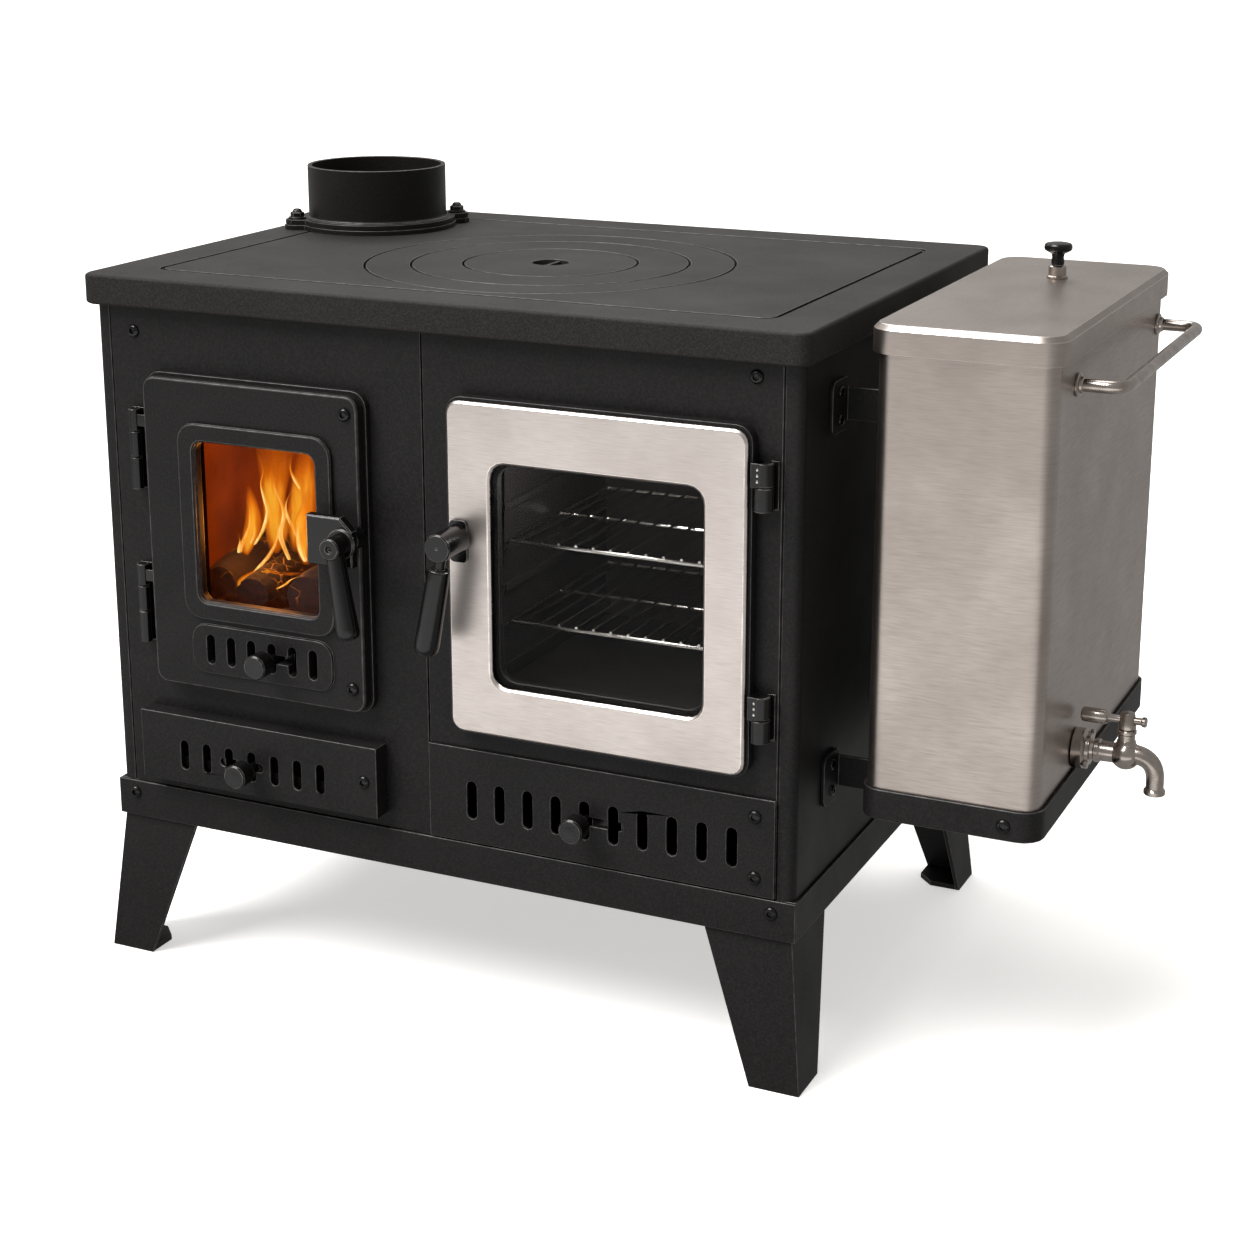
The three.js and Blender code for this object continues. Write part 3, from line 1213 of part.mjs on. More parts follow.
// ---- Firebox ----
const fireFloorTop = GRATE_Z + FIREBOX_SHEET;
const grateY0 = behindFront + GRATE_FRONT;
const grateX0 = FIRE_DOOR_X - GRATE_WIDTH / 2;

function fireboxFloor() {
  const backY = halfDepth - SHEET - GAP;
  const corner = PANEL_RADIUS;
  const floor = polygon([
    [-innerHalf, behindFront + corner],
    [-innerHalf + corner, behindFront],
    [PARTITION_X, behindFront],
    [PARTITION_X, backY],
    [-innerHalf + corner, backY],
    [-innerHalf, backY - corner],
  ]);
  const [holeX, holeY] = [grateX0 + GRATE_WIDTH / 2, grateY0 + GRATE_DEPTH / 2];
  floor.holes.push(rectHole(holeX, holeY, GRATE_WIDTH - 2 * GRATE_LAP, GRATE_DEPTH - 2 * GRATE_LAP));
  const x1 = PARTITION_X + PARTITION_SHEET;
  const partition = block(PARTITION_X, x1, behindFront, backY, floorTop + GAP, PARTITION_TOP);
  return join(slabZ(floor, GRATE_Z, fireFloorTop), partition);
}

function fireGrate() {
  const low = fireFloorTop + GAP;
  const [x, y] = [grateX0 + GRATE_WIDTH / 2, grateY0 + GRATE_DEPTH / 2];
  const pitch = (GRATE_WIDTH - GRATE_END) / GRATE_SLOTS;
  const slots = slotCentres(x, GRATE_SLOTS, pitch).map((cx) => (
    slabZ(rect(cx, y, GRATE_SLOT, GRATE_DEPTH - GRATE_END), low - PAST, low + GRATE_THICKNESS + PAST)
  ));
  return cut(slabZ(rect(x, y, GRATE_WIDTH, GRATE_DEPTH), low, low + GRATE_THICKNESS), ...slots);
}

function sideBrick(x0) {
  const low = fireFloorTop + GAP;
  return block(x0, x0 + BRICK_THICKNESS, behindFront, behindFront + BRICK_DEPTH, low, low + BRICK_HEIGHT);
}

function backBrick() {
  const low = fireFloorTop + GAP;
  const y0 = behindFront + BRICK_DEPTH + GAP;
  const [x0, x1] = [-innerHalf + BRICK_INSET, PARTITION_X - GAP];
  return block(x0, x1, y0, y0 + BRICK_THICKNESS, low, low + BRICK_HEIGHT);
}

// ---- Water tank ----
const tankFloorZ = TRAY_Z + TANK_TRAY_WALL + GAP;
const tankRimZ = TANK_TOP - TANK_LID_WALL - GAP;

function tankOutline(offset) {
  return rounded(tankX, TANK_Y, TANK_WIDTH + 2 * offset, TANK_DEPTH + 2 * offset, TANK_RADIUS + offset);
}

function tankBody() {
  const outer = slabZ(tankOutline(0), tankFloorZ, tankRimZ);
  const inner = slabZ(tankOutline(-TANK_WALL), tankFloorZ + TANK_WALL, TANK_TOP);
  const thread = TAP_THREAD_RADIUS + BORE_CLEARANCE;
  return cut(outer, inner, rod(thread, [tankX, TAP_Y, TAP_Z], [tankWallX + PAST, TAP_Y, TAP_Z]));
}

function tankLid() {
  const low = TANK_TOP - TANK_LID_SKIRT;
  const blank = slabZ(tankOutline(TANK_LID_OVERHANG), low - TANK_LID_EDGE, TANK_TOP, TANK_LID_EDGE);
  const inner = TANK_LID_OVERHANG - TANK_LID_WALL;
  const edge = TANK_LID_EDGE - TANK_LID_WALL;
  const pocket = slabZ(tankOutline(inner), low - 2 * TANK_LID_EDGE, TANK_TOP - TANK_LID_WALL, edge);
  const trim = slabZ(tankOutline(2 * TANK_LID_OVERHANG), low - 2 * TANK_LID_EDGE, low);
  const [x, y] = [tankX, TANK_Y + LID_KNOB_SETBACK];
  return cut(blank, pocket, trim, rod(STEM_RADIUS, [x, y, low], [x, y, TANK_TOP + PAST]));
}

function tankLidKnob() {
  const stem = STEM_RADIUS - BORE_CLEARANCE;
  const profile = [
    [0, -LID_KNOB_STEM],
    [stem, -LID_KNOB_STEM],
    [stem, 0],
    [FERRULE_RADIUS, 0],
    [FERRULE_RADIUS, LID_KNOB_EDGE],
    [FERRULE_RADIUS - LID_KNOB_EDGE / 2, FERRULE_HEIGHT],
    [LID_KNOB_NECK, FERRULE_HEIGHT],
    [LID_KNOB_NECK, LID_KNOB_HEIGHT - LID_KNOB_CAP],
    [LID_KNOB_RADIUS - 2 * LID_KNOB_EDGE, LID_KNOB_HEIGHT - LID_KNOB_CAP + LID_KNOB_EDGE],
    [LID_KNOB_RADIUS, LID_KNOB_HEIGHT - LID_KNOB_CAP / 2],
    [LID_KNOB_RADIUS - LID_KNOB_EDGE, LID_KNOB_HEIGHT - LID_KNOB_EDGE],
    [LID_KNOB_RADIUS / 2, LID_KNOB_HEIGHT],
    [0, LID_KNOB_HEIGHT],
  ];
  return lathe(profile, KNOB_SIDES).translate(tankX, TANK_Y + LID_KNOB_SETBACK, TANK_TOP + GAP);
}

function tankTray() {
  const outer = slabZ(tankOutline(TANK_TRAY_CLEARANCE + TANK_TRAY_WALL), TRAY_Z, TRAY_Z + TANK_TRAY_HEIGHT);
  const above = TRAY_Z + TANK_TRAY_HEIGHT + PAST;
  const inner = slabZ(tankOutline(TANK_TRAY_CLEARANCE), TRAY_Z + TANK_TRAY_WALL, above);
  return cut(outer, inner);
}

// A plate on the stove's side with an arm that reaches the tank.
function tankBracket(z, endX, armZ) {
  const x = halfWidth + GAP;
  const shape = rounded(bracketY, z, BRACKET_WIDTH, BRACKET_HEIGHT, BRACKET_RADIUS);
  const plate = slabX(shape, x, x + BRACKET_SHEET);
  const y = bracketY + BRACKET_WIDTH / 2;
  return join(plate, block(x, endX, y - BRACKET_SHEET, y, armZ, armZ + ARM_HEIGHT));
}

function tankHandle() {
  const wall = tankWallX + GAP;
  const out = wall + HANDLE_TUBE_REACH;
  const ends = [HANDLE_TUBE_Y - HANDLE_TUBE_SPAN / 2, HANDLE_TUBE_Y + HANDLE_TUBE_SPAN / 2];
  const z = HANDLE_TUBE_Z;
  const route = [[wall, ends[0], z], [out, ends[0], z], [out, ends[1], z], [wall, ends[1], z]];
  const bar = tube(route, HANDLE_TUBE_RADIUS, HANDLE_TUBE_SIDES, HANDLE_TUBE_STEPS, HANDLE_TUBE_BEND);
  const rosettes = ends.map((y) => rod(ROSETTE_RADIUS, [wall, y, z], [wall + ROSETTE_THICKNESS, y, z]));
  return join(bar, ...rosettes);
}

// ---- Tap ----
const tapX = tankWallX + TAP_BALL_X;
const tapNeckZ = TAP_Z + TAP_NECK_TOP;

function tapBody() {
  const along = (x) => [x, TAP_Y, TAP_Z];
  const above = (z) => [tapX, TAP_Y, z];
  const wall = tankWallX + GAP;
  const thread = rod(TAP_THREAD_RADIUS, along(tankWallX - TAP_THREAD_LENGTH), along(wall + OVERLAP));
  const collar = rod(TAP_COLLAR_RADIUS, along(wall), along(wall + TAP_COLLAR_LENGTH), TAP_SIDES);
  const ears = earedShape(TAP_FLANGE_RADIUS, TAP_EAR_REACH, TAP_EAR_RADIUS);
  const flangeX = wall + TAP_COLLAR_LENGTH;
  const flange = slabX(ears, 0, TAP_FLANGE_LENGTH).rotateX(Math.PI / 2).translate(flangeX, TAP_Y, TAP_Z);
  const nozzle = rod(TAP_NOZZLE_RADIUS, along(wall), along(tapX), TAP_SIDES);
  const ball = new THREE.SphereGeometry(TAP_BALL_RADIUS, TAP_SIDES, TAP_SIDES / 2).rotateX(Math.PI / 2);
  const neck = rod(TAP_NECK_RADIUS, above(TAP_Z), above(tapNeckZ));
  const stem = rod(TAP_STEM_RADIUS, above(TAP_Z), above(tapNeckZ + TAP_CAP_HEIGHT - 2 * TAP_CAP_WALL));
  const spoutZ = TAP_Z + TAP_SPOUT_RISE;
  const lipZ = TAP_Z - TAP_SPOUT_DROP;
  const outX = tapX + TAP_SPOUT_REACH;
  const path = [[tapX, TAP_Y, spoutZ], [outX, TAP_Y, spoutZ], [outX, TAP_Y, lipZ]];
  const spout = tube(path, TAP_SPOUT_RADIUS, TAP_SPOUT_SIDES, TAP_SPOUT_STEPS, TAP_SPOUT_BEND);
  const lip = rod(TAP_LIP_RADIUS, [outX, TAP_Y, lipZ], [outX, TAP_Y, lipZ + TAP_LIP_HEIGHT]);
  const bore = rod(TAP_SPOUT_BORE, [outX, TAP_Y, lipZ - PAST], [outX, TAP_Y, lipZ + TAP_BORE_DEPTH]);
  const solid = join(collar, thread, flange, nozzle, ball.translate(...above(TAP_Z)), neck, stem, spout, lip);
  return cut(solid, bore);
}

function tapLever() {
  const foot = tapNeckZ + GAP;
  const cap = foot + TAP_CAP_HEIGHT;
  const gripEnd = LEVER_GRIP_START + LEVER_GRIP_LENGTH;
  const above = (z) => [tapX, TAP_Y, z];
  const along = (x) => [tapX + x, TAP_Y, TAP_Z + LEVER_RISE];
  const boss = rod(TAP_CAP_RADIUS, above(foot), above(cap), TAP_SIDES, TAP_CAP_RADIUS - TAP_CAP_WALL);
  const neck = rod(LEVER_NECK_RADIUS, along(-LEVER_GRIP_START - OVERLAP), along(LEVER_TAIL));
  const sleeve = rod(LEVER_GRIP_RADIUS, along(-gripEnd), along(-LEVER_GRIP_START));
  const tail = rod(LEVER_TAIL_RADIUS, along(LEVER_TAIL - LEVER_NECK_RADIUS), along(LEVER_TAIL));
  const bore = rod(TAP_STEM_RADIUS + BORE_CLEARANCE, above(foot - PAST), above(cap - TAP_CAP_WALL));
  return cut(join(boss, neck, sleeve, tail), bore);
}

// ---- Assembly ----
add('top_plate', 'casting', topPlate());
add('outer_ring', 'casting', ring(OUTER_RING_RADIUS, MIDDLE_RING_RADIUS));
add('middle_ring', 'casting', ring(MIDDLE_RING_RADIUS, LID_RADIUS));
add('centre_lid', 'casting', centreLid());
add('flue_collar', 'casting', flueCollar());
add('side_panel_right', 'paint', sidePanel());
add('side_panel_left', 'paint', sidePanel().rotateZ(Math.PI));
const backReach = halfWidth - RETURN - SEAM;
add('back_panel', 'paint', sheet(-backReach, backReach, [], halfDepth - SHEET));
add('fire_front_sheet', 'paint', fireFrontSheet());
add('oven_front_sheet', 'paint', ovenFrontSheet());
add('lower_vent_panel', 'paint', ventPanel());
add('lower_vent_damper', 'blackened', ventDamper());
add('floor_panel', 'galvanised', floorPanel());
add('plinth_front', 'paint', plinthFront());
add('plinth_frame', 'paint', plinthFrame());

const legX = plinthHalfX - PLINTH_SHEET - GAP;
const legY = plinthHalfY - PLINTH_SHEET - GAP;
[
  ['leg_front_left', -legX, -legY],
  ['leg_front_right', legX, -legY],
  ['leg_back_right', legX, legY],
  ['leg_back_left', -legX, legY],
].forEach(([name, x, y], turn) => add(name, 'paint', leg().rotateZ(turn * Math.PI / 2).translate(x, y, 0)));

add('firebox_floor', 'galvanised', fireboxFloor());
add('firebrick_left', 'brick', sideBrick(-innerHalf + BRICK_INSET));
add('firebrick_right', 'brick', sideBrick(PARTITION_X - GAP - BRICK_THICKNESS));
add('firebrick_back', 'brick', backBrick());
add('fire_grate', 'casting', fireGrate());
add('ash_drawer_guide', 'galvanised', ashGuide());
add('ash_drawer_front', 'paint', ashFront());
add('ash_drawer_tray', 'galvanised', ashTray());
add('ash_damper', 'blackened', ashDamper());

add('fire_door_frame', 'casting', fireDoorFrame());
add('fire_door_slab', 'paint', fireDoorSlab());
add('fire_window_bezel', 'paint', fireBezel());
add('fire_window_glass', 'glass', fireGlass());
add('fire_door_damper', 'blackened', fireDamper());
add('fire_latch_box', 'blackened', latchBox());
add('fire_door_handle', 'blackened', fireHandle());

const fireHingeZ = { upper: doorZ + FIRE_HINGE_RISE, lower: doorZ - FIRE_HINGE_DROP };
const ovenHingeZ = { upper: doorZ + OVEN_HINGE_RISE, lower: doorZ - OVEN_HINGE_DROP };
for (const level of ['upper', 'lower']) {
  add(`fire_hinge_fixed_${level}`, 'blackened', fireHingeFixed(fireHingeZ[level]));
  add(`fire_hinge_knuckle_${level}`, 'blackened', fireHingeKnuckle(fireHingeZ[level]));
  add(`oven_hinge_fixed_${level}`, 'blackened', ovenHingeFixed(ovenHingeZ[level]));
  add(`oven_hinge_knuckle_${level}`, 'blackened', ovenHingeKnuckle(ovenHingeZ[level]));
}

add('oven_box', 'enamel', ovenBox());
add('oven_rack_lower', 'wire', ovenRack(RACK_LEVELS[0]));
add('oven_rack_upper', 'wire', ovenRack(RACK_LEVELS[1]));
add('oven_door_liner', 'paint', ovenDoorLiner());
add('oven_door_trim', 'steel', ovenDoorTrim());
add('oven_door_glass', 'glass', ovenGlass());
add('oven_handle_plate', 'blackened', ovenHandlePlate());
add('oven_door_handle', 'blackened', ovenHandle());

add('tank_body', 'steel', tankBody());
add('tank_lid', 'steel', tankLid());
add('tank_lid_knob', 'plastic', tankLidKnob());
add('tank_tray', 'paint', tankTray());
add('tank_bracket_upper', 'paint', tankBracket(UPPER_BRACKET_Z, tankX - TANK_WIDTH / 2 - GAP, UPPER_ARM_Z));
const trayWallX = tankX - TANK_WIDTH / 2 - TANK_TRAY_CLEARANCE - TANK_TRAY_WALL;
add('tank_bracket_lower', 'paint', tankBracket(LOWER_BRACKET_Z, trayWallX - GAP, TRAY_Z));
add('tank_handle', 'steel', tankHandle());
add('tap_body', 'steel', tapBody());
add('tap_lever', 'steel', tapLever());

const box = new THREE.Box3().setFromObject(stove);
const middle = box.getCenter(new THREE.Vector3());
for (const mesh of stove.children) {
  mesh.geometry.translate(-middle.x, -middle.y, -box.min.z);
}

export default stove;
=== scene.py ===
# %% [markdown]
# # A wood burning stove with an oven and a water tank
# The stove is a box of black powder coated sheet steel under a cast iron hotplate. It has a fire
# door with a window, an ash drawer, an oven behind a brushed stainless door, and a stainless water
# tank with a tap hung on its right side. The imported CAD model gives every size and place. This
# lesson dresses it: it gives each part the finish of the real material, rounds and wears the edges
# that a hand or a cloth would reach and paints a highlight along them, and adds the small things
# that CAD leaves out, such as screws, round wires, logs and flames.

# %% Load the fixed frame
import json
import math
import random

import bmesh
import bpy
from mathutils import Matrix, Vector, noise
from mathutils.geometry import tessellate_polygon


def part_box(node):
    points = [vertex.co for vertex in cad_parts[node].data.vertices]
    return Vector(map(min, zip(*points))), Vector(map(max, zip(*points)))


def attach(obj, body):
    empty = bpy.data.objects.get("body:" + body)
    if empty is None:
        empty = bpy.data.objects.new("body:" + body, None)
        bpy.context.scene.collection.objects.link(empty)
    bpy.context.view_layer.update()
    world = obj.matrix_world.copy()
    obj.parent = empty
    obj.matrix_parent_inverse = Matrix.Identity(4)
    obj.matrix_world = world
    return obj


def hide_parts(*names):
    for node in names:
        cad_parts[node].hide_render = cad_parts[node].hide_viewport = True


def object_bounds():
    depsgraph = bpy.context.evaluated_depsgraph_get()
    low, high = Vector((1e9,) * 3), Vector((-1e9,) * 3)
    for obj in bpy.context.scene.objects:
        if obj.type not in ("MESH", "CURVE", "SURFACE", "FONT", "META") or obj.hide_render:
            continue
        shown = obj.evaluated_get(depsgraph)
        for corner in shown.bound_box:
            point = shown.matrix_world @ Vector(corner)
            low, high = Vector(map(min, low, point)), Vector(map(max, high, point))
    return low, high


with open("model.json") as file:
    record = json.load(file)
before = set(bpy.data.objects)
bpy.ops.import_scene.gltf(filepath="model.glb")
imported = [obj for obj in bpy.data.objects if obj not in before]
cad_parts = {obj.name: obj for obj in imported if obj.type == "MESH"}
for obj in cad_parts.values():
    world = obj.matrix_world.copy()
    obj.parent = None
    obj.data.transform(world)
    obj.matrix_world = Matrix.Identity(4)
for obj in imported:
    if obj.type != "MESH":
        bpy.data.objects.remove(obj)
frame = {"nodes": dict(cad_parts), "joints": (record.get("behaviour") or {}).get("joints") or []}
nodes = frame["nodes"]
cad_low, cad_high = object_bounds()
MM = 0.001
print("CAD box in mm:", [round(side / MM, 1) for side in cad_high - cad_low])

# %% [markdown]
# ## The studio
# A product like this is shown on a pale sweep under one large soft light, high in front and to the
# left. That light fills the front and the hotplate and leaves the right side darker, which is what
# makes a black box read as a box. A sun lamp with a wide angle does it best here, because it lights
# the far floor as brightly as the near floor. A weak pale sky fills the shadows, and one softbox
# overhead draws the bright lines on the rounded edges. A card of light lies on the floor in front,
# as a studio's white reflector does. It only shows in shiny surfaces, so the steel mirrors it and
# the matt black front stays black.

# %% Camera, from the hotplate's centre
scene = bpy.context.scene
plate_low, plate_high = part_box("top_plate")
plate_centre = (plate_low + plate_high) / 2
CAMERA_AZIMUTH = math.radians(24.8)      # from straight in front, towards the tank's side
CAMERA_ELEVATION = math.radians(14.9)
CAMERA_OFFSET = Vector((900.6, -1794.2, 328.6)) * MM
CAMERA_LENS = 66.8
CAMERA_SHIFT = -0.1

camera_data = bpy.data.cameras.new("studio_camera")
camera_data.lens = CAMERA_LENS
camera_data.shift_y = CAMERA_SHIFT
camera = bpy.data.objects.new("studio_camera", camera_data)
scene.collection.objects.link(camera)
camera.location = plate_centre + CAMERA_OFFSET
camera.rotation_euler = (math.pi / 2 - CAMERA_ELEVATION, 0, CAMERA_AZIMUTH)
scene.camera = camera
scene.view_settings.view_transform = "Standard"
print("camera at", [round(value, 3) for value in camera.location])

# %% Sun, softbox, reflector card and sky, in watts and metres
SUN_POWER = 3.9
SUN_PLACE = (-1.5, -1.9, 3.7)
SUN_ANGLE = math.radians(38)
SOFTBOX_POWER = 29
SOFTBOX_PLACE = (-0.6, 0.9, 2.3)
SOFTBOX_SIZE = 1.6
CARD_POWER = 28
CARD_PLACE = Vector((-0.1, -1.8, 0.004))
CARD_SIZE = (3.4, 2.4)
SKY_POWER = 0.38
SKY_COLOUR = (1.0, 0.985, 0.965, 1)


def lamp(name, kind, power, place, aim):
    """A light at a place, turned to a point."""
    data = bpy.data.lights.new(name, kind)
    data.energy = power
    made = bpy.data.objects.new(name, data)
    scene.collection.objects.link(made)
    made.location = place
    made.rotation_euler = (Vector(aim) - Vector(place)).to_track_quat("-Z", "Y").to_euler()
    return made


middle = (cad_low + cad_high) / 2
key = lamp("key_sun", "SUN", SUN_POWER, SUN_PLACE, middle)
key.data.angle = SUN_ANGLE
softbox = lamp("overhead_softbox", "AREA", SOFTBOX_POWER, SOFTBOX_PLACE, middle)
softbox.data.size = SOFTBOX_SIZE
card = lamp("floor_reflector", "AREA", CARD_POWER, CARD_PLACE, CARD_PLACE + Vector((0, 0, 1)))
card.data.shape = "RECTANGLE"
card.data.size, card.data.size_y = CARD_SIZE
card.visible_diffuse = False
world = bpy.data.worlds.new("studio_sky")
scene.world = world
world.use_nodes = True
sky = world.node_tree.nodes["Background"]
sky.inputs["Color"].default_value = SKY_COLOUR
sky.inputs["Strength"].default_value = SKY_POWER
print("lights:", [light.name for light in bpy.data.lights])

# %% [markdown]
# ## Finishes
# Every finish starts from the real material. Colours are written as sRGB hex values, because that
# is how a swatch is read, and one function turns them into the linear values that Blender mixes.
# One small function adds a node with its settings and links.

# %% Colour and node helpers
def linear(swatch):
    """An sRGB hex colour as linear RGBA."""
    parts = [int(swatch[place:place + 2], 16) / 255 for place in (1, 3, 5)]
    return [part / 12.92 if part <= 0.04045 else ((part + 0.055) / 1.055) ** 2.4 for part in parts] + [1]


def add(material, kind, settings=None, inputs=None):
    """Adds a shader node, sets its properties, and sets or links its inputs."""
    made = material.node_tree.nodes.new("ShaderNode" + kind)
    for name, value in (settings or {}).items():
        setattr(made, name, value)
    for name, value in (inputs or {}).items():
        if isinstance(value, bpy.types.NodeSocket):
            material.node_tree.links.new(value, made.inputs[name])
        else:
            made.inputs[name].default_value = value
    return made


def new_finish(name, **values):
    """A material whose shader has these values on its own sockets."""
    material = bpy.data.materials.new(name)
    material.use_nodes = True
    shader = material.node_tree.nodes["Principled BSDF"]
    for socket, value in values.items():
        shader.inputs[socket.replace("_", " ")].default_value = value
    return material, shader


def link(material, socket, target):
    """Joins an output to an input."""
    material.node_tree.links.new(socket, target)


print("black powder coat swatch, linear:", [round(part, 4) for part in linear("#2b2a2a")])

# %% [markdown]
# Each pattern is a noise whose scale comes from the size of the thing it draws. A noise of scale 1
# has lumps about one metre across, so lumps of a given size in millimetres need 1000 over that size.

# %% Patterns sized in millimetres
def position(material):
    """The place on the object, in metres."""
    return add(material, "TexCoord").outputs["Object"]


def lumps(material, size_mm, detail=2.0, stretch=None):
    """Noise whose lumps have this size, longer along the axes whose stretch is above 1."""
    place = position(material)
    if stretch:
        shrink = [1 / value for value in stretch]
        place = add(material, "Mapping", inputs={"Vector": place, "Scale": shrink}).outputs["Vector"]
    settings = {"Vector": place, "Scale": 1 / (size_mm * MM), "Detail": detail}
    return add(material, "TexNoise", inputs=settings).outputs["Fac"]


def spread(material, value, low, high, start=0.3, end=0.7):
    """The noise's usual range turned into a range of our own."""
    inputs = {"Value": value, "From Min": start, "From Max": end, "To Min": low, "To Max": high}
    return add(material, "MapRange", inputs=inputs).outputs["Result"]


def blend(material, factor, first, second):
    """Two colours mixed by a factor."""
    made = add(material, "Mix", {"data_type": "RGBA"}, {"Factor": factor})
    for socket, colour in ((made.inputs[6], first), (made.inputs[7], second)):
        if isinstance(colour, bpy.types.NodeSocket):
            link(material, colour, socket)
        else:
            socket.default_value = linear(colour)
    return made.outputs[2]


def bump(material, shader, height, depth_mm, strength=1.0, below=None):
    """Raises the surface by a height pattern, to this depth."""
    inputs = {"Height": height, "Distance": depth_mm * MM, "Strength": strength}
    if below:
        inputs["Normal"] = below
    made = add(material, "Bump", inputs=inputs)
    link(material, made.outputs["Normal"], shader.inputs["Normal"])
    return made.outputs["Normal"]


print("1.2 mm grain is noise scale", round(1 / (1.2 * MM)))

# %% [markdown]
# ### Powder coated sheet steel
# The body, doors, drawer, plinth and legs are folded sheet with a baked matt black powder coat. The
# powder melts into a skin with a fine orange peel, about half a millimetre across, drawn here at
# 1.3 mm so that it shows. Its tone is speckled too, drawn at 1.9 mm where the real specks are near
# half a millimetre. Handling leaves it a little smoother and greyer in cloudy patches. On edges the
# coat is thin and rubbed, so a bevel there takes a greyer, smoother version, whose pale tone also
# paints the highlight that runs along each edge.

# %% Powder coat and its worn edge
def coated_sheet(name, dark, light, grain, gloss, sheen):
    """A baked or moulded black skin: a cloudy tone, fine specks and a soft peel."""
    material, shader = new_finish(name, Specular_IOR_Level=sheen)
    clouds = lumps(material, 70, detail=4)
    peel = lumps(material, 1.3, detail=2)
    grains = lumps(material, 1.9, detail=3)
    tone = blend(material, spread(material, clouds, 0, 1), dark, light)
    speckled = blend(material, spread(material, grains, 0, 0.75, 0.4, 0.7), tone, grain)
    link(material, speckled, shader.inputs["Base Color"])
    roughness = spread(material, clouds, gloss + 0.07, gloss - 0.04)
    link(material, roughness, shader.inputs["Roughness"])
    bump(material, shader, peel, 0.12, 0.5)
    return material


def worn_edge_with_painted_highlight(name, coat, bare, gloss):
    """The same coat on an edge, rubbed thin in places, and paler as a painted highlight along the edge."""
    material, shader = new_finish(name, Specular_IOR_Level=0.6)
    edge_wear_and_highlight = lumps(material, 9, detail=5)
    # The paler mix is partly wear through the coat and partly a painted highlight along the edge.
    tone = blend(material, spread(material, edge_wear_and_highlight, 0, 1, 0.42, 0.62), coat, bare)
    link(material, tone, shader.inputs["Base Color"])
    link(material, spread(material, edge_wear_and_highlight, gloss + 0.1, gloss - 0.05), shader.inputs["Roughness"])
    return material


powder_coat = coated_sheet("powder_coated_sheet", "#151414", "#1a1818", "#272525", 0.5, 0.2)
# The edge tone is paler than wear alone: it also paints the edge's highlight.
powder_edge = worn_edge_with_painted_highlight("powder_coat_edge_wear_and_painted_highlight", "#242221", "#454140", 0.4)
print("finish:", powder_coat.name, powder_edge.name)

# %% [markdown]
# ### Sand cast iron
# The hotplate, its rings and the flue collar are grey cast iron, painted thin with stove black. Sand
# casting leaves a fine grit of about a millimetre and slow hollows a few centimetres wide. Heat
# bakes the paint to a warm dark grey that hardly shines. The rim is where pans slide and cloths
# rub, so its rounded edge is paler, and that pale edge also paints the highlight along the rim. The
# spill groove's floor is darker still: partly baked soot, partly painted shade in the narrow groove.
# The flue collar is blacked more smoothly than the top.

# %% Cast iron and its rubbed rim
def cast_iron_finish(name, dark, light, grain, gloss):
    """A blackened casting: heat clouds, sand grit and slow hollows."""
    material, shader = new_finish(name, Specular_IOR_Level=0.2)
    heat_clouds = lumps(material, 85, detail=5)
    grit = lumps(material, 1.1, detail=3)
    hollows = lumps(material, 26, detail=3)
    tone = blend(material, spread(material, heat_clouds, 0, 1), dark, light)
    speckled = blend(material, spread(material, grit, 0, 0.8, 0.4, 0.7), tone, grain)
    link(material, speckled, shader.inputs["Base Color"])
    link(material, spread(material, heat_clouds, gloss + 0.05, gloss - 0.06), shader.inputs["Roughness"])
    cast_skin = bump(material, shader, hollows, 0.35, 0.35)
    bump(material, shader, grit, 0.22, 0.75, cast_skin)
    return material


cast_iron = cast_iron_finish("sand_cast_iron", "#1a1817", "#211f1d", "#393633", 0.64)
# The rim's paler tone is wear from pans and cloths, and a painted highlight along the rim.
cast_edge = worn_edge_with_painted_highlight("cast_iron_rim_wear_and_painted_highlight", "#2c2927", "#4c4745", 0.48)
# The groove's floor is near black: baked soot, and painted shade in the narrow groove.
soot_and_groove_shade = cast_iron_finish("groove_soot_and_painted_shade", "#080707", "#0e0d0c", "#131110", 0.85)
flue_iron = cast_iron_finish("stove_blacked_flue", "#121110", "#181615", "#211f1e", 0.42)
print("finish:", cast_iron.name, cast_edge.name, flue_iron.name)

# %% [markdown]
# ### Brushed stainless steel
# The oven door's frame and the tank are stainless sheet, linished along its length. The scratches
# are finer than a hair, drawn here 0.7 mm wide and 17 mm long. They smear reflections across the
# grain, so the sheet looks satin rather than mirror bright. On upright faces the grain runs
# level, and on the tank's lid it runs along the lid.

# %% Brushed stainless and polished steel
SCRATCH_WIDTH = 0.7
SCRATCH_STRETCH = 24


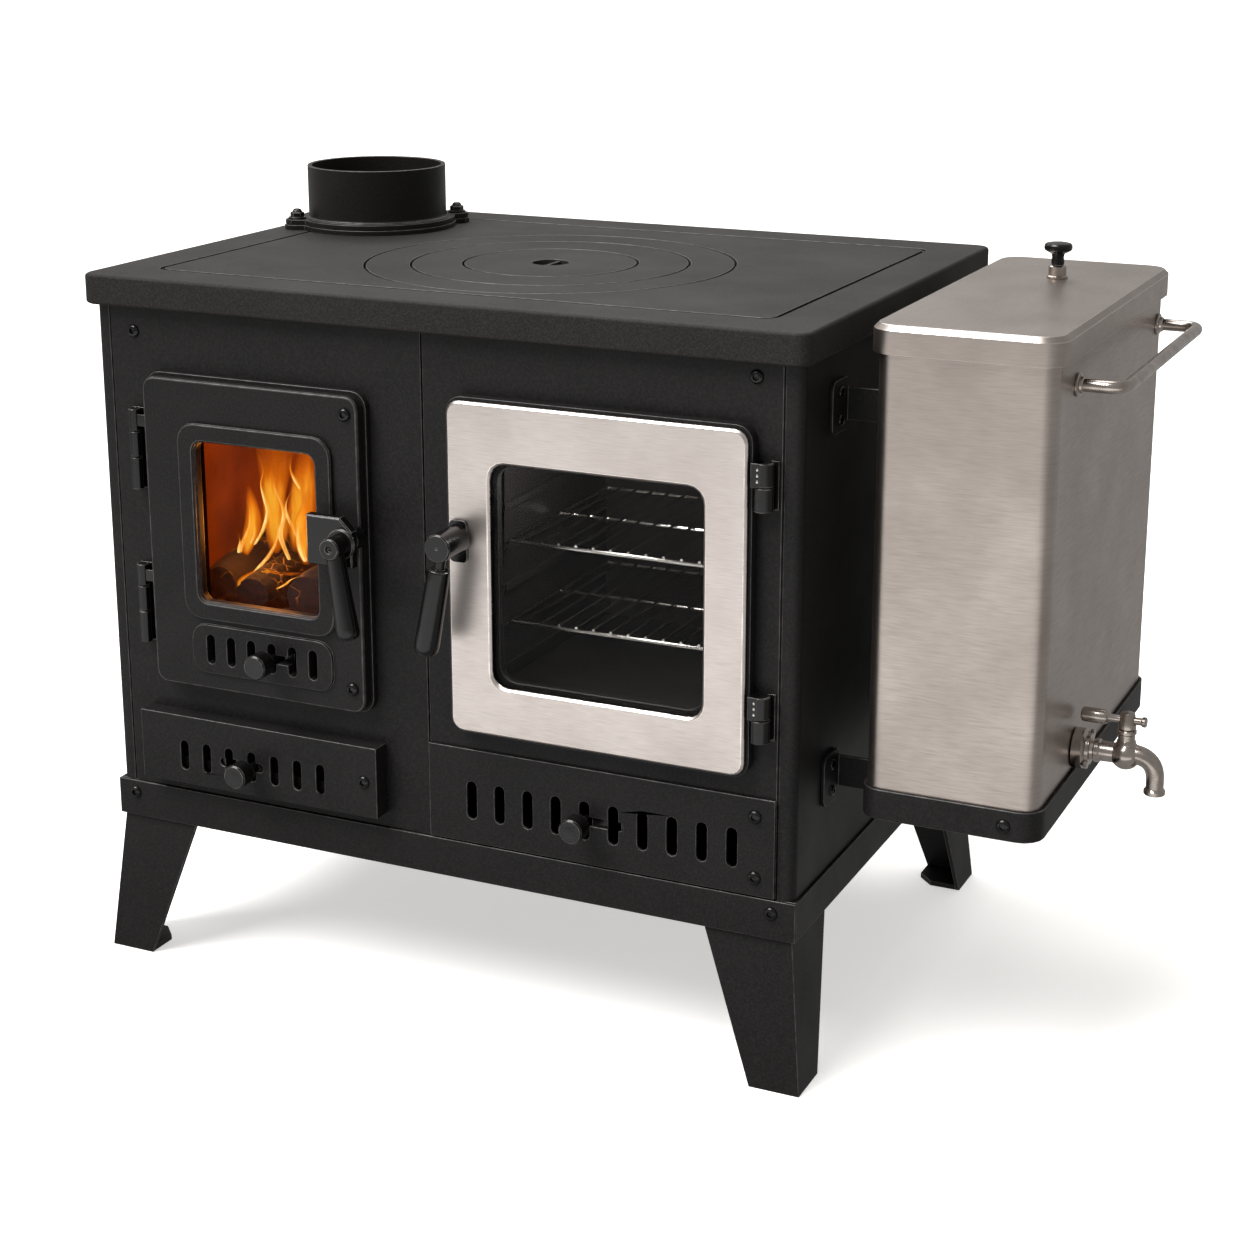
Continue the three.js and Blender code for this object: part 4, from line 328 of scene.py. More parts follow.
def brushed_stainless(name, bright, dull, scratch, gloss):
    """Linished sheet: level grain on upright faces, and grain along the lid where it lies flat."""
    material, shader = new_finish(name, Metallic=1.0)
    level_grain = lumps(material, SCRATCH_WIDTH, detail=4, stretch=(SCRATCH_STRETCH, SCRATCH_STRETCH, 1))
    lid_grain = lumps(material, SCRATCH_WIDTH, detail=4, stretch=(1, SCRATCH_STRETCH, SCRATCH_STRETCH))
    facing = add(material, "SeparateXYZ", inputs={"Vector": add(material, "NewGeometry").outputs["Normal"]})
    lies_flat = add(material, "Math", {"operation": "ABSOLUTE"}, {0: facing.outputs["Z"]}).outputs["Value"]
    on_top = spread(material, lies_flat, 0, 1, 0.6, 0.9)
    grain = add(material, "Mix", inputs={"Factor": on_top, 2: level_grain, 3: lid_grain}).outputs[0]
    haze = lumps(material, 60, detail=3)
    tone = blend(material, spread(material, haze, 0, 1), dull, bright)
    lined = blend(material, spread(material, grain, 0, 0.3, 0.4, 0.7), tone, scratch)
    link(material, lined, shader.inputs["Base Color"])
    link(material, spread(material, grain, gloss - 0.03, gloss + 0.06), shader.inputs["Roughness"])
    bump(material, shader, grain, 0.04, 0.22)
    return material


door_steel = brushed_stainless("brushed_stainless_door", "#d6cdc8", "#c7beb8", "#a39a93", 0.37)
tank_steel = brushed_stainless("brushed_stainless_tank", "#b6aca5", "#a59b94", "#8f857e", 0.32)
print("finish:", door_steel.name, tank_steel.name)


def smooth_steel(name, bright, dull, gloss):
    """Turned or drawn steel: faint rings and dulled patches instead of a straight grain."""
    material, shader = new_finish(name, Metallic=1.0)
    handling = lumps(material, 14, detail=4)
    scratches = lumps(material, 0.7, detail=3)
    tone = blend(material, spread(material, handling, 0, 1), dull, bright)
    link(material, tone, shader.inputs["Base Color"])
    link(material, spread(material, handling, gloss + 0.07, gloss - 0.05), shader.inputs["Roughness"])
    bump(material, shader, scratches, 0.03, 0.4)
    return material


polished_edge = smooth_steel("polished_stainless_edge", "#e4dcd7", "#c9c0ba", 0.25)
turned_steel = smooth_steel("turned_steel", "#bfb6af", "#9d938b", 0.22)
rack_wire = smooth_steel("drawn_chrome_wire", "#e2ded9", "#b9b3ad", 0.2)
sooty_sheet = coated_sheet("sooty_sheet_steel", "#060505", "#0a0909", "#0e0d0c", 0.75, 0.08)
print("finish:", polished_edge.name, turned_steel.name, rack_wire.name, sooty_sheet.name)

# %% [markdown]
# ### Blackened steel, enamel, knobs and bricks
# Handles, hinges and screws are turned steel, blackened and oiled: smoother than powder coat, so
# they hold long soft highlights. The oven is pressed sheet under black vitreous enamel, which is
# glassy but dusty. The damper knobs are moulded phenolic. Firebrick is pressed clay: sandy and full
# of pits. Over a lit fire it is lit amber, and a weak emission paints that fire light onto it in
# patches, though the brick itself is no lamp. The rope that seals the window is spun glass, brown
# with smoke and quite matt.

# %% Blackened steel, enamel, phenolic and firebrick
black_steel = coated_sheet("oil_blackened_steel", "#090808", "#0e0d0d", "#131111", 0.2, 0.34)
# The pale edge is partly rubbed bare steel and partly a painted highlight along rims, hub edges and dimples.
black_steel_edge = worn_edge_with_painted_highlight("blackened_edge_wear_and_painted_highlight", "#262423", "#6e6865", 0.26)
enamel = coated_sheet("black_vitreous_enamel", "#242120", "#2b2826", "#332f2d", 0.42, 0.2)
phenolic = coated_sheet("moulded_phenolic", "#0a0909", "#100f0f", "#151313", 0.22, 0.36)
# The knob's pale rim is partly scuffing and partly a painted highlight along its chamfer.
phenolic_edge = worn_edge_with_painted_highlight("phenolic_edge_wear_and_painted_highlight", "#2a2827", "#7a7370", 0.28)


def fired_clay(name, dark, light, glow):
    """Pitted clay in scorched patches, with a weak emission that paints the fire's light on it."""
    material, shader = new_finish(name, Roughness=0.95)
    pits = lumps(material, 3, detail=4)
    scorch_and_painted_firelight = lumps(material, 55, detail=5)
    tone = blend(material, spread(material, scorch_and_painted_firelight, 0, 1), dark, light)
    link(material, tone, shader.inputs["Base Color"])
    # Painted fire light: an amber emission, stronger where the same noise makes the clay lighter.
    painted_firelight = blend(material, spread(material, scorch_and_painted_firelight, 0, 1), "#6a1e00", "#ac3800")
    link(material, painted_firelight, shader.inputs["Emission Color"])
    shader.inputs["Emission Strength"].default_value = glow
    bump(material, shader, pits, 1.2, 0.8)
    return material


firebrick = fired_clay("firebrick_with_painted_firelight", "#4a2210", "#70401e", 0.62)
glass_rope = coated_sheet("glass_rope_seal", "#0e0704", "#150b07", "#1e120c", 0.93, 0.0)
print("finish:", black_steel.name, enamel.name, phenolic.name, firebrick.name)

# %% [markdown]
# ### Window glass
# Both windows are flat heat proof glass, tinted a little by smoke. A clear sheet only shows by what
# it mirrors, and light has to pass in to show the fire and the racks. So the glass is a dark skin
# that is nearly transparent straight on.

# %% Smoked glass
def smoked_glass(name, tint, body):
    """A thin dark film that lets most of the light through."""
    material, shader = new_finish(name, Roughness=0.06, Alpha=body, Specular_IOR_Level=0.2)
    film = lumps(material, 30, detail=4)
    smoke = blend(material, spread(material, film, 0, 1), "#000000", tint)
    link(material, smoke, shader.inputs["Base Color"])
    link(material, spread(material, film, body * 0.8, body * 1.3), shader.inputs["Alpha"])
    return material


fire_glass = smoked_glass("fire_window_ceramic_glass", "#2a1206", 0.08)
oven_glass = smoked_glass("oven_window_glass", "#141414", 0.14)
print("finish:", fire_glass.name, oven_glass.name)

# %% [markdown]
# ## Dress the CAD parts
# The imported meshes are made of loose flat triangles. Three modifiers turn each one into a part with
# real edges, without touching its own mesh. The first welds the triangles and forgets their flat
# shading, the second clears the lines across flat faces, and the third rounds the sharp edges and
# gives the rounding the worn finish, whose pale tone also paints a highlight along each edge. A last
# one keeps the broad faces flat beside it.

# %% The weld, as a small node group
def weld_group():
    """Joins loose triangles, drops their stored normals and shades them smooth."""
    group = bpy.data.node_groups.new("weld_sheet", "GeometryNodeTree")
    group.interface.new_socket("Geometry", in_out="INPUT", socket_type="NodeSocketGeometry")
    group.interface.new_socket("Geometry", in_out="OUTPUT", socket_type="NodeSocketGeometry")
    chain = [group.nodes.new(kind) for kind in (
        "NodeGroupInput", "GeometryNodeMergeByDistance", "GeometryNodeRemoveAttribute",
        "GeometryNodeSetShadeSmooth", "NodeGroupOutput")]
    chain[1].inputs["Distance"].default_value = WELD_REACH
    chain[2].inputs["Name"].default_value = "custom_normal"
    for source, target in zip(chain, chain[1:]):
        group.links.new(source.outputs[0], target.inputs[0])
    return group


WELD_REACH = 0.002 * MM
FLAT_ANGLE = math.radians(0.6)
SHARP_ANGLE = math.radians(28)
weld = weld_group()


def soften_edges(piece, radius_mm, edge_finish):
    """Rounds sharp edges, gives the rounding a finish and keeps the faces beside it flat."""
    soften = piece.modifiers.new("soften", "BEVEL")
    soften.width = radius_mm * MM
    soften.segments = 2
    soften.limit_method = "ANGLE"
    soften.angle_limit = SHARP_ANGLE
    soften.use_clamp_overlap = False
    soften.material = edge_finish
    flatten = piece.modifiers.new("flatten", "WEIGHTED_NORMAL")
    flatten.keep_sharp = False


def round_edges(piece, radius_mm):
    """Welds, clears flat faces and rounds sharp edges."""
    piece.modifiers.new("weld", "NODES").node_group = weld
    clear = piece.modifiers.new("clear_faces", "DECIMATE")
    clear.decimate_type = "DISSOLVE"
    clear.angle_limit = FLAT_ANGLE
    soften_edges(piece, radius_mm, 1)


def dress(names, face, edge, radius_mm):
    """Gives CAD nodes a face finish and an edge finish."""
    for name in names:
        piece = nodes[name]
        piece.data.materials.clear()
        piece.data.materials.append(face)
        piece.data.materials.append(edge)
        round_edges(piece, radius_mm)


# %% Which part is made of what
BODY_SHEETS = ["back_panel", "fire_front_sheet", "oven_front_sheet", "side_panel_left", "side_panel_right",
               "lower_vent_panel", "plinth_frame", "plinth_front", "ash_drawer_front", "fire_door_slab",
               "fire_door_frame", "tank_tray", "tank_bracket_upper", "tank_bracket_lower",
               "leg_front_left", "leg_front_right", "leg_back_left", "leg_back_right"]
INSIDE_SHEETS = ["floor_panel", "firebox_floor", "ash_drawer_guide", "ash_drawer_tray"]

dress(BODY_SHEETS, powder_coat, powder_edge, 0.7)
dress(["fire_window_bezel", "oven_door_liner"], powder_coat, powder_edge, 0.5)
dress(["fire_latch_box", "oven_handle_plate"], black_steel, black_steel_edge, 0.4)
dress(INSIDE_SHEETS, sooty_sheet, sooty_sheet, 0.3)
dress(["fire_grate"], cast_iron, cast_edge, 0.5)
dress(["oven_box"], enamel, enamel, 0.4)
dress(["oven_door_trim"], door_steel, polished_edge, 0.5)
dress(["tank_body", "tank_lid"], tank_steel, polished_edge, 0.3)
dress(["firebrick_back", "firebrick_left", "firebrick_right"], firebrick, firebrick, 2)
dress(["fire_window_glass"], fire_glass, fire_glass, 0.3)
dress(["oven_door_glass"], oven_glass, oven_glass, 0.3)
bare = [name for name, piece in nodes.items() if not piece.modifiers]
print("dressed", len(nodes) - len(bare), "parts; made again below:", bare)

# %% [markdown]
# ## Tools for making pieces
# A CAD round is a ring of short flats. There are four ways to make one: turn a profile, run a bar
# along a path, cut a plate to an outline, or build a block. Places come from the boxes and the
# joints of the frame.

# %% Places in the frame
joints = {joint["name"]: joint for joint in frame["joints"]}


def spot(node, across, deep, high):
    """A point in a part's box: 0 is left, front or foot, and 1 is right, back or top."""
    low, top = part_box(node)
    return Vector(start + share * (end - start) for start, end, share in zip(low, top, (across, deep, high)))


def foremost(node):
    """The middle of a part's foremost face, such as a knob's."""
    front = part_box(node)[0].y + 0.01 * MM
    face = [corner.co for corner in nodes[node].data.vertices if corner.co.y < front]
    spans = [(min(place[axis] for place in face), max(place[axis] for place in face)) for axis in range(3)]
    return Vector((start + end) / 2 for start, end in spans)


def mm(x, y, z):
    """A vector given in millimetres."""
    return Vector((x, y, z)) * MM


FRONT = Vector((0, -1, 0))
UP = Vector((0, 0, 1))
RIGHT = Vector((1, 0, 0))
print("fire handle turns about", joints["fire_handle_turn"]["pos_m"])


# %% Turn, bar, plate and block
def facing(place, way):
    """A frame at a place whose +Z looks along a direction."""
    return Matrix.Translation(place) @ way.to_track_quat("Z", "Y").to_matrix().to_4x4()


def around(sides):
    """Equal turns round a circle, one for each side."""
    return [2 * math.pi * side / sides for side in range(sides)]


def skin(shape, rings, finish=0, closed=False):
    """Joins rings of points into a skin. A ring of one point closes an end."""
    made = [[shape.verts.new(point) for point in ring] for ring in rings]
    for low, high in zip(made, made[1:] + made[:1] if closed else made[1:]):
        for turn in range(max(len(low), len(high))):
            after = turn + 1
            corners = (low[turn % len(low)], low[after % len(low)],
                       high[after % len(high)], high[turn % len(high)])
            shape.faces.new(dict.fromkeys(corners)).material_index = finish
    return made


def turned(shape, place, profile, sides=48, finish=0, closed=False):
    """Turns a profile of (radius, height) in millimetres about the frame's +Z."""
    rings = []
    for radius, height in profile:
        turns = around(sides) if radius else [0]
        rings.append([place @ mm(radius * math.cos(turn), radius * math.sin(turn), height) for turn in turns])
    skin(shape, rings, finish, closed)


def bar(shape, path, radii, sides=16, finish=0):
    """A round bar along a path, with one radius or a radius for each point, in millimetres."""
    radii = radii if isinstance(radii, list) else [radii] * len(path)
    rings = [[path[0]]]
    side = (path[1] - path[0]).orthogonal()
    for step, (point, radius) in enumerate(zip(path, radii)):
        along = (path[min(step + 1, len(path) - 1)] - path[max(step - 1, 0)]).normalized()
        side = (side - along * side.dot(along)).normalized()
        other = along.cross(side)
        rings.append([point + (side * math.cos(turn) + other * math.sin(turn)) * radius * MM
                      for turn in around(sides)])
    skin(shape, rings + [[path[-1]]], finish)


def bent(points, radius_mm, steps=8):
    """A path through these points with its corners rounded."""
    path = [points[0]]
    for before, corner, after in zip(points, points[1:], points[2:]):
        start = corner + (before - corner).normalized() * radius_mm * MM
        end = corner + (after - corner).normalized() * radius_mm * MM
        for share in (step / steps for step in range(steps + 1)):
            path.append(start.lerp(corner, share).lerp(corner.lerp(end, share), share))
    return path + [points[-1]]


def rounded(width, depth, radius, steps=6, centre=(0, 0)):
    """A rounded rectangle as a loop of points in millimetres."""
    loop = []
    for quarter, (x, y) in enumerate(((1, 1), (-1, 1), (-1, -1), (1, -1))):
        for step in range(steps + 1):
            turn = math.pi / 2 * (quarter + step / steps)
            loop.append((centre[0] + x * (width / 2 - radius) + radius * math.cos(turn),
                         centre[1] + y * (depth / 2 - radius) + radius * math.sin(turn)))
    return loop


def plate(shape, place, loops, low, high, finish=0):
    """A plate between two heights: its outline, then its holes, as loops in millimetres."""
    layers = []
    for height in (low, high):
        layers.append([shape.verts.new(place @ mm(x, y, height)) for loop in loops for x, y in loop])
        for face in tessellate_polygon([[mm(x, y, 0) for x, y in loop] for loop in loops]):
            shape.faces.new([layers[-1][corner] for corner in face]).material_index = finish
    start = 0
    for loop in loops:
        for turn in range(len(loop)):
            first, second = start + turn, start + (turn + 1) % len(loop)
            wall = (layers[0][first], layers[0][second], layers[1][second], layers[1][first])
            shape.faces.new(wall).material_index = finish
        start += len(loop)


def block(shape, low, high, finish=0):
    """A block between two corners."""
    foot = ((low.x, low.y), (high.x, low.y), (high.x, high.y), (low.x, high.y))
    ends = skin(shape, [[Vector((x, y, z)) for x, y in foot] for z in (low.z, high.z)], finish)
    for end in ends:
        shape.faces.new(end).material_index = finish


def new_piece(name, shape, finishes, body, soften_mm=0.0, stands_for=()):
    """Makes a piece of the finished shape, which rides on a body and stands for CAD nodes."""
    bmesh.ops.recalc_face_normals(shape, faces=shape.faces)
    mesh = bpy.data.meshes.new(name)
    shape.to_mesh(mesh)
    shape.free()
    for finish in finishes:
        mesh.materials.append(finish)
    mesh.shade_smooth()
    mesh.set_sharp_from_angle(angle=SHARP_ANGLE)
    piece = bpy.data.objects.new(name, mesh)
    scene.collection.objects.link(piece)
    if soften_mm:
        soften_edges(piece, soften_mm, len(finishes) - 1)
    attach(piece, body)
    if stands_for:
        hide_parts(*stands_for)
    return piece


print("a knob of 48 sides has flats", round(2 * 10.5 * math.sin(math.pi / 48), 2), "mm long")

# %% [markdown]
# ## The cooking top
# The hotplate is one casting: a deck with a deep rim, a shallow groove that catches spills, and a
# stepped round seat for the rings. It is drawn as a stack of rounded outlines joined into one skin.
# A Boolean then cuts the seat and the flue hole, because the flue hole crosses the groove.

# %% Hotplate
PLATE_EDGE = 3
PLATE_CORNER = 12
DECK = 10
RIM = 14
GROOVE_INSET = 44
GROOVE_WIDTH = 3.6
GROOVE_DEPTH = 2.2
GROOVE_CORNER = 14
RING_THICKNESS = 9
RING_LIP = 4.5
RING_LEDGE = 6
RING_GAP = 1.4
FLUE_HOLE = 61
CUT_PAST = 5
plate_size = (plate_high - plate_low) / MM
rings_centre = spot("centre_lid", 0.5, 0.5, 1)
flue_centre = spot("flue_collar", 0.5, 0.5, 0)


def half_width(node):
    """Half of a part's width, in millimetres."""
    low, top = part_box(node)
    return (top.x - low.x) / 2 / MM


def outline(inset, height, corner):
    """The hotplate's outline, drawn in by an inset, at a height over its face."""
    place = Matrix.Translation(spot("top_plate", 0.5, 0.5, 1))
    width, depth = plate_size.x - 2 * inset, plate_size.y - 2 * inset
    return [place @ mm(x, y, height) for x, y in rounded(width, depth, corner)]


def hotplate():
    """A stack of outlines from the deck's underside round the rim to the groove's floor."""
    thick = plate_size.z
    edge = [math.radians(step * 22.5) for step in range(5)]
    layers = [(RIM, -DECK, 4), (RIM, -thick, 4)]
    layers += [(PLATE_EDGE * (1 - math.sin(turn)), PLATE_EDGE * (1 - math.cos(turn)) - thick, PLATE_CORNER)
               for turn in edge]
    layers += [(PLATE_EDGE * (1 - math.cos(turn)), PLATE_EDGE * (math.sin(turn) - 1), PLATE_CORNER)
               for turn in edge]
    shape = bmesh.new()
    made = skin(shape, [outline(*layer) for layer in layers])
    groove_inner = GROOVE_INSET + GROOVE_WIDTH
    groove = [(GROOVE_INSET, 0, GROOVE_CORNER), (GROOVE_INSET, -GROOVE_DEPTH, GROOVE_CORNER),
              (groove_inner, -GROOVE_DEPTH, GROOVE_CORNER - GROOVE_WIDTH),
              (groove_inner, 0, GROOVE_CORNER - GROOVE_WIDTH)]
    skin(shape, [outline(*layers[-1]), outline(*groove[0])])
    channel = skin(shape, [outline(*layer) for layer in groove], 2)
    shape.faces.new(made[0])
    shape.faces.new(channel[-1])
    bmesh.ops.remove_doubles(shape, verts=shape.verts, dist=0.001 * MM)
    return shape


def cut_away(piece, name, shape):
    """Cuts a closed shape out of a piece and keeps the result as its mesh."""
    bmesh.ops.recalc_face_normals(shape, faces=shape.faces)
    mesh = bpy.data.meshes.new(name)
    shape.to_mesh(mesh)
    shape.free()
    cutter = bpy.data.objects.new(name, mesh)
    scene.collection.objects.link(cutter)
    carve = piece.modifiers.new(name, "BOOLEAN")
    carve.object = cutter
    carve.solver = "EXACT"
    bpy.context.view_layer.update()
    result = bpy.data.meshes.new_from_object(piece.evaluated_get(bpy.context.evaluated_depsgraph_get()))
    piece.modifiers.remove(carve)
    piece.data = result
    bpy.data.objects.remove(cutter)
    result.shade_smooth()
    result.set_sharp_from_angle(angle=SHARP_ANGLE)


# The third finish is the groove's floor, painted darker: soot and painted shade.
top = new_piece("hotplate", hotplate(), [cast_iron, cast_edge, soot_and_groove_shade], "stove_body",
                stands_for=["top_plate"])
seat = bmesh.new()
seat_radius = half_width("outer_ring") + RING_GAP
below, above = -2 * DECK, CUT_PAST
turned(seat, Matrix.Translation(rings_centre),
       [(0, below), (seat_radius - RING_LEDGE, below), (seat_radius - RING_LEDGE, -RING_LIP - RING_GAP),
        (seat_radius, -RING_LIP - RING_GAP), (seat_radius, above), (0, above)], sides=128)
turned(seat, Matrix.Translation(flue_centre),
       [(0, below), (FLUE_HOLE, below), (FLUE_HOLE, above), (0, above)], sides=96)
cut_away(top, "seat_cutter", seat)
soften_edges(top, 0.5, 1)
print("hotplate:", len(top.data.polygons), "faces")

# %% [markdown]
# The two rings and the lid lie loose in their seats, so that the cook can open the fire to a pot.
# Each has a thin lip that hangs on the ledge of the next one. They are turned shapes with 128
# sides, so that the gaps between them stay even.

# %% Rings and lid
LID_RECESS = 16
LID_RECESS_DEPTH = 5
LID_BAR = 3.2
LID_BAR_DROP = 1.2


def ring_profile(outer, inner):
    """Profile of a ring that hangs by its lip and carries the next one on a ledge."""
    lip = -RING_LIP
    return [(outer, 0), (outer, lip), (outer - RING_LEDGE, lip), (outer - RING_LEDGE, -RING_THICKNESS),
            (inner - RING_LEDGE, -RING_THICKNESS), (inner - RING_LEDGE, lip - RING_GAP),
            (inner + RING_GAP, lip - RING_GAP), (inner + RING_GAP, 0)]


rings_place = Matrix.Translation(rings_centre)
for node, inside in (("outer_ring", "middle_ring"), ("middle_ring", "centre_lid")):
    shape = bmesh.new()
    profile = ring_profile(half_width(node) - RING_GAP / 2, half_width(inside))
    turned(shape, rings_place, profile, sides=128, closed=True)
    new_piece("cooking_" + node, shape, [cast_iron, cast_edge], node, 0.6, [node])
shape = bmesh.new()
lid_radius = half_width("centre_lid") - RING_GAP / 2
turned(shape, rings_place, [
    (0, -LID_RECESS_DEPTH), (LID_RECESS, -LID_RECESS_DEPTH), (LID_RECESS, 0), (lid_radius, 0),
    (lid_radius, -RING_LIP), (lid_radius - RING_LEDGE, -RING_LIP), (lid_radius - RING_LEDGE, -RING_THICKNESS),
    (0, -RING_THICKNESS)], sides=128)
block(shape, rings_centre + mm(-LID_BAR / 2, -LID_RECESS, -LID_RECESS_DEPTH),
      rings_centre + mm(LID_BAR / 2, LID_RECESS, -LID_BAR_DROP))
new_piece("cooking_lid", shape, [cast_iron, cast_edge], "centre_lid", 0.6, ["centre_lid"])
ring_radii = [round(half_width(node), 1) for node in ("outer_ring", "middle_ring", "centre_lid")]
print("rings of", ring_radii, "mm radius")

# %% [markdown]
# The flue collar is a short cast pipe on a flange of two layers with two ears, bolted down through
# the ears with cap nuts on washers. The flange outline is a circle that swells round each ear.

# %% Flue collar and its bolts
PIPE_RADIUS = 65
PIPE_WALL = 4
FLANGE_RADIUS = 74
FLANGE_LAYER = 4.2
FLANGE_TOP = 9
EAR_REACH = 77
EAR_RADIUS = 12
EAR_TURN = math.radians(42)
flue_size = (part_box("flue_collar")[1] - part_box("flue_collar")[0]) / MM


def flange_loop(trim):
    """The flange outline, drawn in by a trim, with an ear on each side."""
    loop = []
    for turn in around(144):
        off_ear = turn - EAR_TURN
        reach, aside = EAR_REACH * abs(math.cos(off_ear)), EAR_REACH * math.sin(off_ear)
        ear = EAR_RADIUS - trim
        radius = FLANGE_RADIUS - trim
        if abs(aside) < ear:
            radius = max(radius, reach + math.sqrt(ear ** 2 - aside ** 2))
        loop.append((radius * math.cos(turn), radius * math.sin(turn)))
    return loop


shape = bmesh.new()
flue_place = Matrix.Translation(flue_centre)
bore = PIPE_RADIUS - PIPE_WALL
bore_loop = [(bore * math.cos(turn), bore * math.sin(turn)) for turn in around(90)]
plate(shape, flue_place, [flange_loop(0), bore_loop], 0, FLANGE_LAYER)
plate(shape, flue_place, [flange_loop(0.9), bore_loop], FLANGE_LAYER + 0.5, FLANGE_TOP)
turned(shape, flue_place, [
    (bore, 1), (PIPE_RADIUS + 3, FLANGE_TOP - 1), (PIPE_RADIUS + 3, FLANGE_TOP + 0.4),
    (PIPE_RADIUS + 0.9, FLANGE_TOP + 1.2), (PIPE_RADIUS, FLANGE_TOP + 3.2), (PIPE_RADIUS, flue_size.z),
    (bore, flue_size.z)], sides=128, closed=True)
new_piece("flue_pipe", shape, [flue_iron, cast_edge], "stove_body", 0.5, ["flue_collar"])


def hexagon(turn, across):
    """How far a hexagon's edge lies from its middle, for its width across flats."""
    return across / 2 / math.cos((turn + math.pi / 6) % (math.pi / 3) - math.pi / 6)


def hex_rings(place, profile, sides=24):
    """Rings for a hexagonal profile of (width across flats, height)."""
    rings = []
    for across, height in profile:
        reaches = [(hexagon(turn, across), turn) for turn in around(sides)]
        rings.append([place @ mm(reach * math.cos(turn), reach * math.sin(turn), height)
                      for reach, turn in reaches])
    return rings


def cap_nut(shape, place):
    """A washer, a hexagon nut and its domed cap."""
    turned(shape, place, [(0, 0), (8.4, 0), (8.4, 1.8), (0, 1.8)], sides=32)
    nut = hex_rings(place, [(10.5, 1.8), (11.5, 2.4), (11.5, 5.6), (10.4, 6.4)])
    skin(shape, [[place @ mm(0, 0, 1.8)]] + nut + [[place @ mm(0, 0, 6.4)]])
    turned(shape, place, [(0, 6.2), (4.6, 6.2), (4.4, 7.6), (3.3, 8.9), (1.6, 9.6), (0, 9.8)], sides=32)


shape = bmesh.new()
for turn in (EAR_TURN, EAR_TURN + math.pi):
    ear = flue_centre + mm(EAR_REACH * math.cos(turn), EAR_REACH * math.sin(turn), FLANGE_TOP)
    cap_nut(shape, Matrix.Translation(ear))
new_piece("flue_bolts", shape, [black_steel, black_steel_edge], "stove_body", 0.3)
print("flue pipe of", 2 * PIPE_RADIUS, "mm with two bolts")

# %% [markdown]
# ## Knobs and dampers
# Each damper is a slotted slide behind the vents with a moulded knob on a stem. The knob has a flat
# face with a broad chamfer, and a thin neck behind it. The slide's windows match the vents, so a
# short push opens or shuts them all.

# %% Dampers
KNOB_RADIUS = 10.5
KNOB_LENGTH = 17
KNOB_CHAMFER = 1.3
KNOB_NECK = 5
STEM_RADIUS = 3.4
SLIDE_SHEET = 2
WINDOW_CLEARANCE = 2.6
SLIDE_LAP = 10
DAMPERS = (  # node, body, windows, their spacing, width and height
    ("fire_door_damper", "fire_damper", 6, 20.2, 8, 26),
    ("ash_damper", "ash_damper", 7, 22.8, 8, 26.5),
    ("lower_vent_damper", "lower_damper", 10, 25.6, 9, 33))


def control_knob(shape, face, back):
    """A knob whose face is here, on a neck and a stem that reach back to a slide."""
    place = facing(face, -FRONT)
    turned(shape, place, [
        (0, 0.4), (4, 0.1), (KNOB_RADIUS - KNOB_CHAMFER, 0), (KNOB_RADIUS, KNOB_CHAMFER),
        (KNOB_RADIUS, KNOB_LENGTH - 1.6), (KNOB_RADIUS - 1.4, KNOB_LENGTH), (0, KNOB_LENGTH)])
    turned(shape, place, [
        (0, KNOB_LENGTH - 1), (7.2, KNOB_LENGTH - 1), (7.2, KNOB_LENGTH + 1.4), (KNOB_NECK, KNOB_LENGTH + 2),
        (KNOB_NECK, KNOB_LENGTH + 4), (STEM_RADIUS, KNOB_LENGTH + 4), (STEM_RADIUS, back),
        (0, back)], sides=32)


for node, body, count, pitch, width, height in DAMPERS:
    low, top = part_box(node)
    knob = foremost(node)
    depth = (top.y - knob.y) / MM
    slide_middle = Vector(((low.x + top.x) / 2, top.y, (low.z + top.z) / 2))
    slide = Matrix.Translation(slide_middle) @ Matrix.Rotation(math.pi / 2, 4, "X")
    wide, high = width + WINDOW_CLEARANCE, height + WINDOW_CLEARANCE
    windows = [rounded(wide, high, width / 2, centre=((place - (count - 1) / 2) * pitch, 0))
               for place in range(count)]
    shape = bmesh.new()
    sheet = rounded((top.x - low.x) / MM, height + SLIDE_LAP, 2, steps=2)
    plate(shape, slide, [sheet] + windows, 0, SLIDE_SHEET)
    control_knob(shape, knob, depth)
    new_piece(node + "_slide", shape, [phenolic, phenolic_edge], body, 0.25, [node])
    print(node, "has", count, "windows and its knob at", [round(part / MM, 1) for part in knob])

# %% [markdown]
# ## Door handles
# The fire door's handle is a hub on a double collar, with a tapered grip that hangs from it. The
# oven's handle is a longer hub on a small plate, a short neck, and a sleeve with rounded ends. Both
# are turned and blackened, with a small centre hole left by the lathe in the hub's face.

# %% Handles
FIRE_TILT = math.radians(8.5)
OVEN_TILT = math.radians(-11)


def hanging(tilt):
    """The direction of a grip that hangs down and leans sideways."""
    return Vector((math.sin(tilt), 0, -math.cos(tilt)))


def hub_face(radius, dimple, edge=1.1):
    """Profile of a hub's front: a centre hole, a flat face and a chamfered edge."""
    return [(0, dimple * 0.8), (dimple * 0.6, dimple * 0.6), (dimple, 0), (radius - edge, 0), (radius, edge)]


